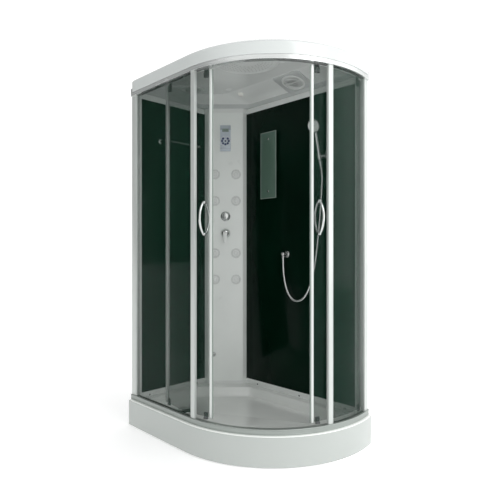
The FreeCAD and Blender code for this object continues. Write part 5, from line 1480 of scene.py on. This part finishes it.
def make_handshower():
    cup = turned_shape(rounded([(10.9, -16), (13.4, -16), (15, -13), (14.2, 0), (15, 13),
                                (13.6, 16), (10.9, 16), (10.9, -16)], 0.8, 3), 36)
    form("holder_cup", *moved(HOLDER, cup), CHROME, "hand_unit", node="shower_holder")
    grip = [(0, -24), (4, -24), (4, -20.4), (9.2, -20.4), (10.4, -18.6), (9.8, 20), (10.2, 70),
            (9.6, 120), (9.4, 148), (10.5, 160), (12, 172), (0, 174)]
    form("shower_grip", *moved(HOLDER, turned_shape(rounded(grip, 2.0, 3), 32)), CHROME,
         "hand_unit", node="handshower")
    nut = [(7.2, -50), (8.2, -49.5), (8.8, -40), (9.6, -36), (10.3, -30), (10.3, -25.6),
           (9.4, -24.7), (0, -24.7)]
    form("hose_nut", *moved(HOLDER, turned_shape(rounded([(0, -50)] + nut, 0.8, 3), 28)), CHROME,
         "slider")


def make_shower_head():
    turn = Matrix.Rotation(math.radians(90 + 20) - LEAN, 4, "X")
    head = HOLDER @ Matrix.Translation((0, -8, 176)) @ turn
    shell = [(0, -21.5), (10, -21), (17, -18), (27, -11), (36, -5), (39.2, -1), (40, 3), (39.6, 7),
             (37, 9.6), (33, 9.9), (32.4, 8.6), (0, 8.6)]
    form("shower_head", *moved(head, turned_shape(rounded(shell, 1.6, 3), 48)), CHROME,
         "hand_unit")
    face = turned_shape(rounded([(0, 8.2), (32.2, 8.2), (32.2, 9.2), (31, 9.7), (0, 9.7)], 0.3), 48)
    form("shower_face", *moved(head, face), TRIM, "hand_unit")
    nozzle = turned_shape([(0, 9.4), (1.3, 9.4), (1.2, 10.0), (0, 10.0)], 8)
    circles = ((6, 6), (12, 12), (18, 18), (24, 24), (29, 28))
    repeated("shower_nozzles", nozzle, circle_places(head, 0, circles), SHADOW, "hand_unit")


make_handshower()
make_shower_head()
tell("handshower")

# %% [markdown]
# ## Roof
# The roof is a moulding with a low dome outside and a coved ceiling inside. One skin of plan rings
# makes both: from the dome's top down to the front band, in underneath, and up the coves to the
# flat middle. The faces that look down get the lighter ceiling finish.

# %%
COVE_EDGE, COVE_RUN, COVE_LOW, COVE_RISE = 46, 154, 2041, 47.0
COVE = math.atan(COVE_RISE / COVE_RUN)
CEILING_HEIGHT = COVE_LOW + COVE_RISE
COLUMN_CUT = 323


def on_cove(x, back, drop=0.0):
    """A frame on the sloping cove, its z pointing down into the cabin."""
    height = COVE_LOW + (back - COVE_EDGE) * COVE_RISE / COVE_RUN - drop
    return frame_at((x, BACK - back, height), (1, 0, 0), (0, -math.cos(COVE), math.sin(COVE)))


def make_roof():
    outside = ((10, ROOF_LOW), (10, 2070), (10.3, 2074), (11.6, 2077), (14, 2079.6), (20, 2083.4),
               (32, 2090.5), (60, 2104), (95, 2121), (140, 2135), (185, 2144), (230, 2150))
    loops = [plan_ring(inset, inset, inset, height) for inset, height in reversed(outside)]
    loops += [plan_ring(18.6, 45, 45, ROOF_LOW, COLUMN_CUT),
              plan_ring(18.6, 45, 45, 2036.5, COLUMN_CUT),
              plan_ring(50, COVE_EDGE, COVE_EDGE, 2040.6, COLUMN_CUT)]
    for share in (0.0, 0.04, 0.35, 0.65, 0.94, 0.98, 1.0):
        height = COVE_LOW + COVE_RISE * share - (0.7 if share == 0.98 else 0.0)
        loops.append(plan_ring(52 + 28 * share, COVE_EDGE + COVE_RUN * share,
                               COVE_EDGE + 8 * share, height, COLUMN_CUT + 100 * share))
    loops.append(plan_ring(90, 215, 64, CEILING_HEIGHT, COLUMN_CUT + 120))
    points, faces = rings(loops)
    dome = form("roof_dome", points, faces, ROOF, node="roof_shell", sharp=40)
    dome.data.materials.append(CEILING)
    for polygon in dome.data.polygons:
        if polygon.normal.z < -0.3 and polygon.center.z > 2.0365:
            polygon.material_index = 1


make_roof()
tell("roof")

# %% [markdown]
# ## Fan boss
# The fan blows through the sloping cove behind, on a square boss with rounded corners. The boss
# runs from a rounded square to the round hole, ring by ring, all with the same number of points.

# %%
FAN = (126, 123, 7.0)                  # along the wall, out from it, and the boss's height
BOSS_WIDE, BOSS_HIGH, BOSS_HOLE, BOSS_STEPS = 100.0, 85.0, 62.0, 64


def make_boss():
    turns = [math.tau * (step + 0.5) / BOSS_STEPS for step in range(BOSS_STEPS)]

    def squared(value):
        return math.copysign(abs(value) ** 0.22, value)

    rows = []
    for inset, level in ((0.0, -8.5), (0.0, -2.6), (0.9, -0.9), (2.8, 0.0)):
        rows.append([((BOSS_WIDE - inset) * squared(math.cos(turn)),
                      (BOSS_HIGH - inset) * squared(math.sin(turn)), level) for turn in turns])
    rows += [[(BOSS_HOLE * math.cos(turn), BOSS_HOLE * math.sin(turn), level) for turn in turns]
             for level in (0.0, -34.0)]
    form("fan_boss", *moved(on_cove(*FAN), rings(rows, caps=False)), ROOF, sharp=30)


make_boss()
tell("fan boss")

# %% [markdown]
# ## Overhead shower
# A wide flat disc under the ceiling, turned, with its outer ring raised. Its rubber nozzles stand
# in five circles, set by the node group from one item.

# %%
RAIN_HEAD = (110, -100)


def make_rain_head():
    disc = [(0, -0.3), (178, -0.3), (183, -1.4), (183, -4), (181, -6.6), (176, -7.8), (168, -7.8),
            (165, -6.6), (164, -5.4), (60, -5.0), (58, -6.6), (30, -7.2), (0, -7.4)]
    place = Matrix.Translation((*RAIN_HEAD, CEILING_HEIGHT))
    below = Matrix.Translation((*RAIN_HEAD, 2080.6))
    shape = turned_shape(rounded(list(reversed(disc)), 0.8, 3), 96)
    form("rain_disc", *moved(place, shape), TRIM, node="overhead_shower")
    dot = turned_shape([(0, 1.8), (2.6, 1.8), (2.2, 0), (0, 0)], 10)
    circles = ((72, 20), (90, 26), (108, 30), (126, 36), (144, 42))
    repeated("rain_nozzles", dot, circle_places(below, 0, circles), NYLON, sharp=40)


make_rain_head()
tell("overhead shower")

# %% [markdown]
# ## Fan ring and grille
# A turned flange sits in the boss's hole. A cross bar and three thin rings guard the hub, and
# every one of them is a plain shape, because they are seen only from below and from afar.

# %%
def make_fan():
    place = on_cove(*FAN)
    flange = turned_shape(rounded([(56.8, -30), (56.8, 4.0), (58.5, 4.2), (69, 3.2), (71.8, 1.2),
                                   (71.8, 0.2), (61.6, 0.2), (61.6, -30), (56.8, -30)],
                                  0.8, 3), 64)
    form("fan_ring", *moved(place, flange), TRIM, node="fan_housing")
    bars = [slab_shape(114, 9, 1.2, 3.8, 1.4, 0.6, 3)]
    for radius in (20.0, 34.0, 48.0):
        bars.append(turned_shape([(radius - 1.0, 1.4), (radius + 1.0, 1.4), (radius + 1.0, 3.2),
                                  (radius - 1.0, 3.2), (radius - 1.0, 1.4)], 48))
    bars.append(turned_shape(rounded([(0, -34), (17, -34), (17, -22), (0, -22)], 0.6), 32))
    bars.append(moved(Matrix.Translation((0, 0, -31)), slab_shape(118, 8, -3, 3, 1, 0.5, 2)))
    form("fan_grille", *moved(place, joined(*bars)), TRIM)


make_fan()
tell("fan")

# %% [markdown]
# ## Speaker and light
# Both are turned covers under the ceiling. The speaker's holes are painted shade: one small dark
# pin on many points, which the second node group repeats ring by ring.

# %%
SPEAKER = (-468, -15)


def make_speaker():
    place = frame_at((*SPEAKER, CEILING_HEIGHT), (1, 0, 0), (0, -1, 0))
    cup = turned_shape(rounded([(0, 0.3), (72, 0.3), (72, 2.4), (70, 5.2), (64, 6.8), (58, 5.2),
                                (0, 5.8)], 0.8, 3), 64)
    form("speaker_cup", *moved(place, cup), TRIM, node="speaker")
    hole = turned_shape([(0, 0), (1.7, 0), (1.5, -0.4), (0, -0.4)], 8)
    spacing = 6.4
    circles = [(radius, int(math.tau * radius / spacing)) for radius in range(8, 56, 6)]
    below = Matrix.Translation((*SPEAKER, 2082.5))
    repeated("speaker_holes", hole, circle_places(below, 0, circles), SHADOW, sharp=40)


def make_light():
    shape = turned_shape(rounded([(0, 0.3), (18, 0.3), (18, 6), (16, 11), (10, 13.4), (0, 13.8)],
                                 2.0, 4), 36)
    form("lamp_dome", *moved(on_cove(-285, 164), shape), LAMP, node="roof_light")


make_speaker()
make_light()
tell("speaker and light")

# %% [markdown]
# ## Pieces that keep their CAD shape
# Carriers, rollers, the steel frame and the services behind the column are already right in the
# CAD model, so drawing them again would only add errors. They get a finish and softened edges.

# %%
KEPT = {
    "control_housing": (SILVER, 1.6),
    "tray_frame": (CASE, 1.2), "levelling_feet": (STEEL, 0.8), "drain_trap": (SHADOW, 0.8),
    "valve_body": (BRASS, 1.0), "steam_generator": (CASE, 2.0), "fan_impeller": (SHADOW, 0.0),
    "left_door_carriers": (GUIDE, 0.8), "right_door_carriers": (GUIDE, 0.8),
    "left_lead_roller": (SEAL, 0.7), "left_tail_roller": (SEAL, 0.7),
    "right_lead_roller": (SEAL, 0.7), "right_tail_roller": (SEAL, 0.7),
}


def finish_kept():
    for node, (material, width) in KEPT.items():
        piece = frame["nodes"][node]
        for slot in piece.material_slots:
            slot.material = material
        if width:
            round_off(piece, width)


finish_kept()
print(len(KEPT), "nodes keep their CAD shape")

# %% [markdown]
# ## Floor
# A white floor without walls runs to the horizon, where the white world takes over, and keeps the
# cabin's soft shadow.

# %%
def make_floor():
    half = 30
    mesh = bpy.data.meshes.new("studio_floor")
    mesh.from_pydata([(-half, -half, 0), (half, -half, 0), (half, half, 0), (-half, half, 0)], [],
                     [(0, 1, 2, 3)])
    mesh.materials.append(GROUND)
    linked("studio_floor", mesh)


make_floor()
tell("floor")
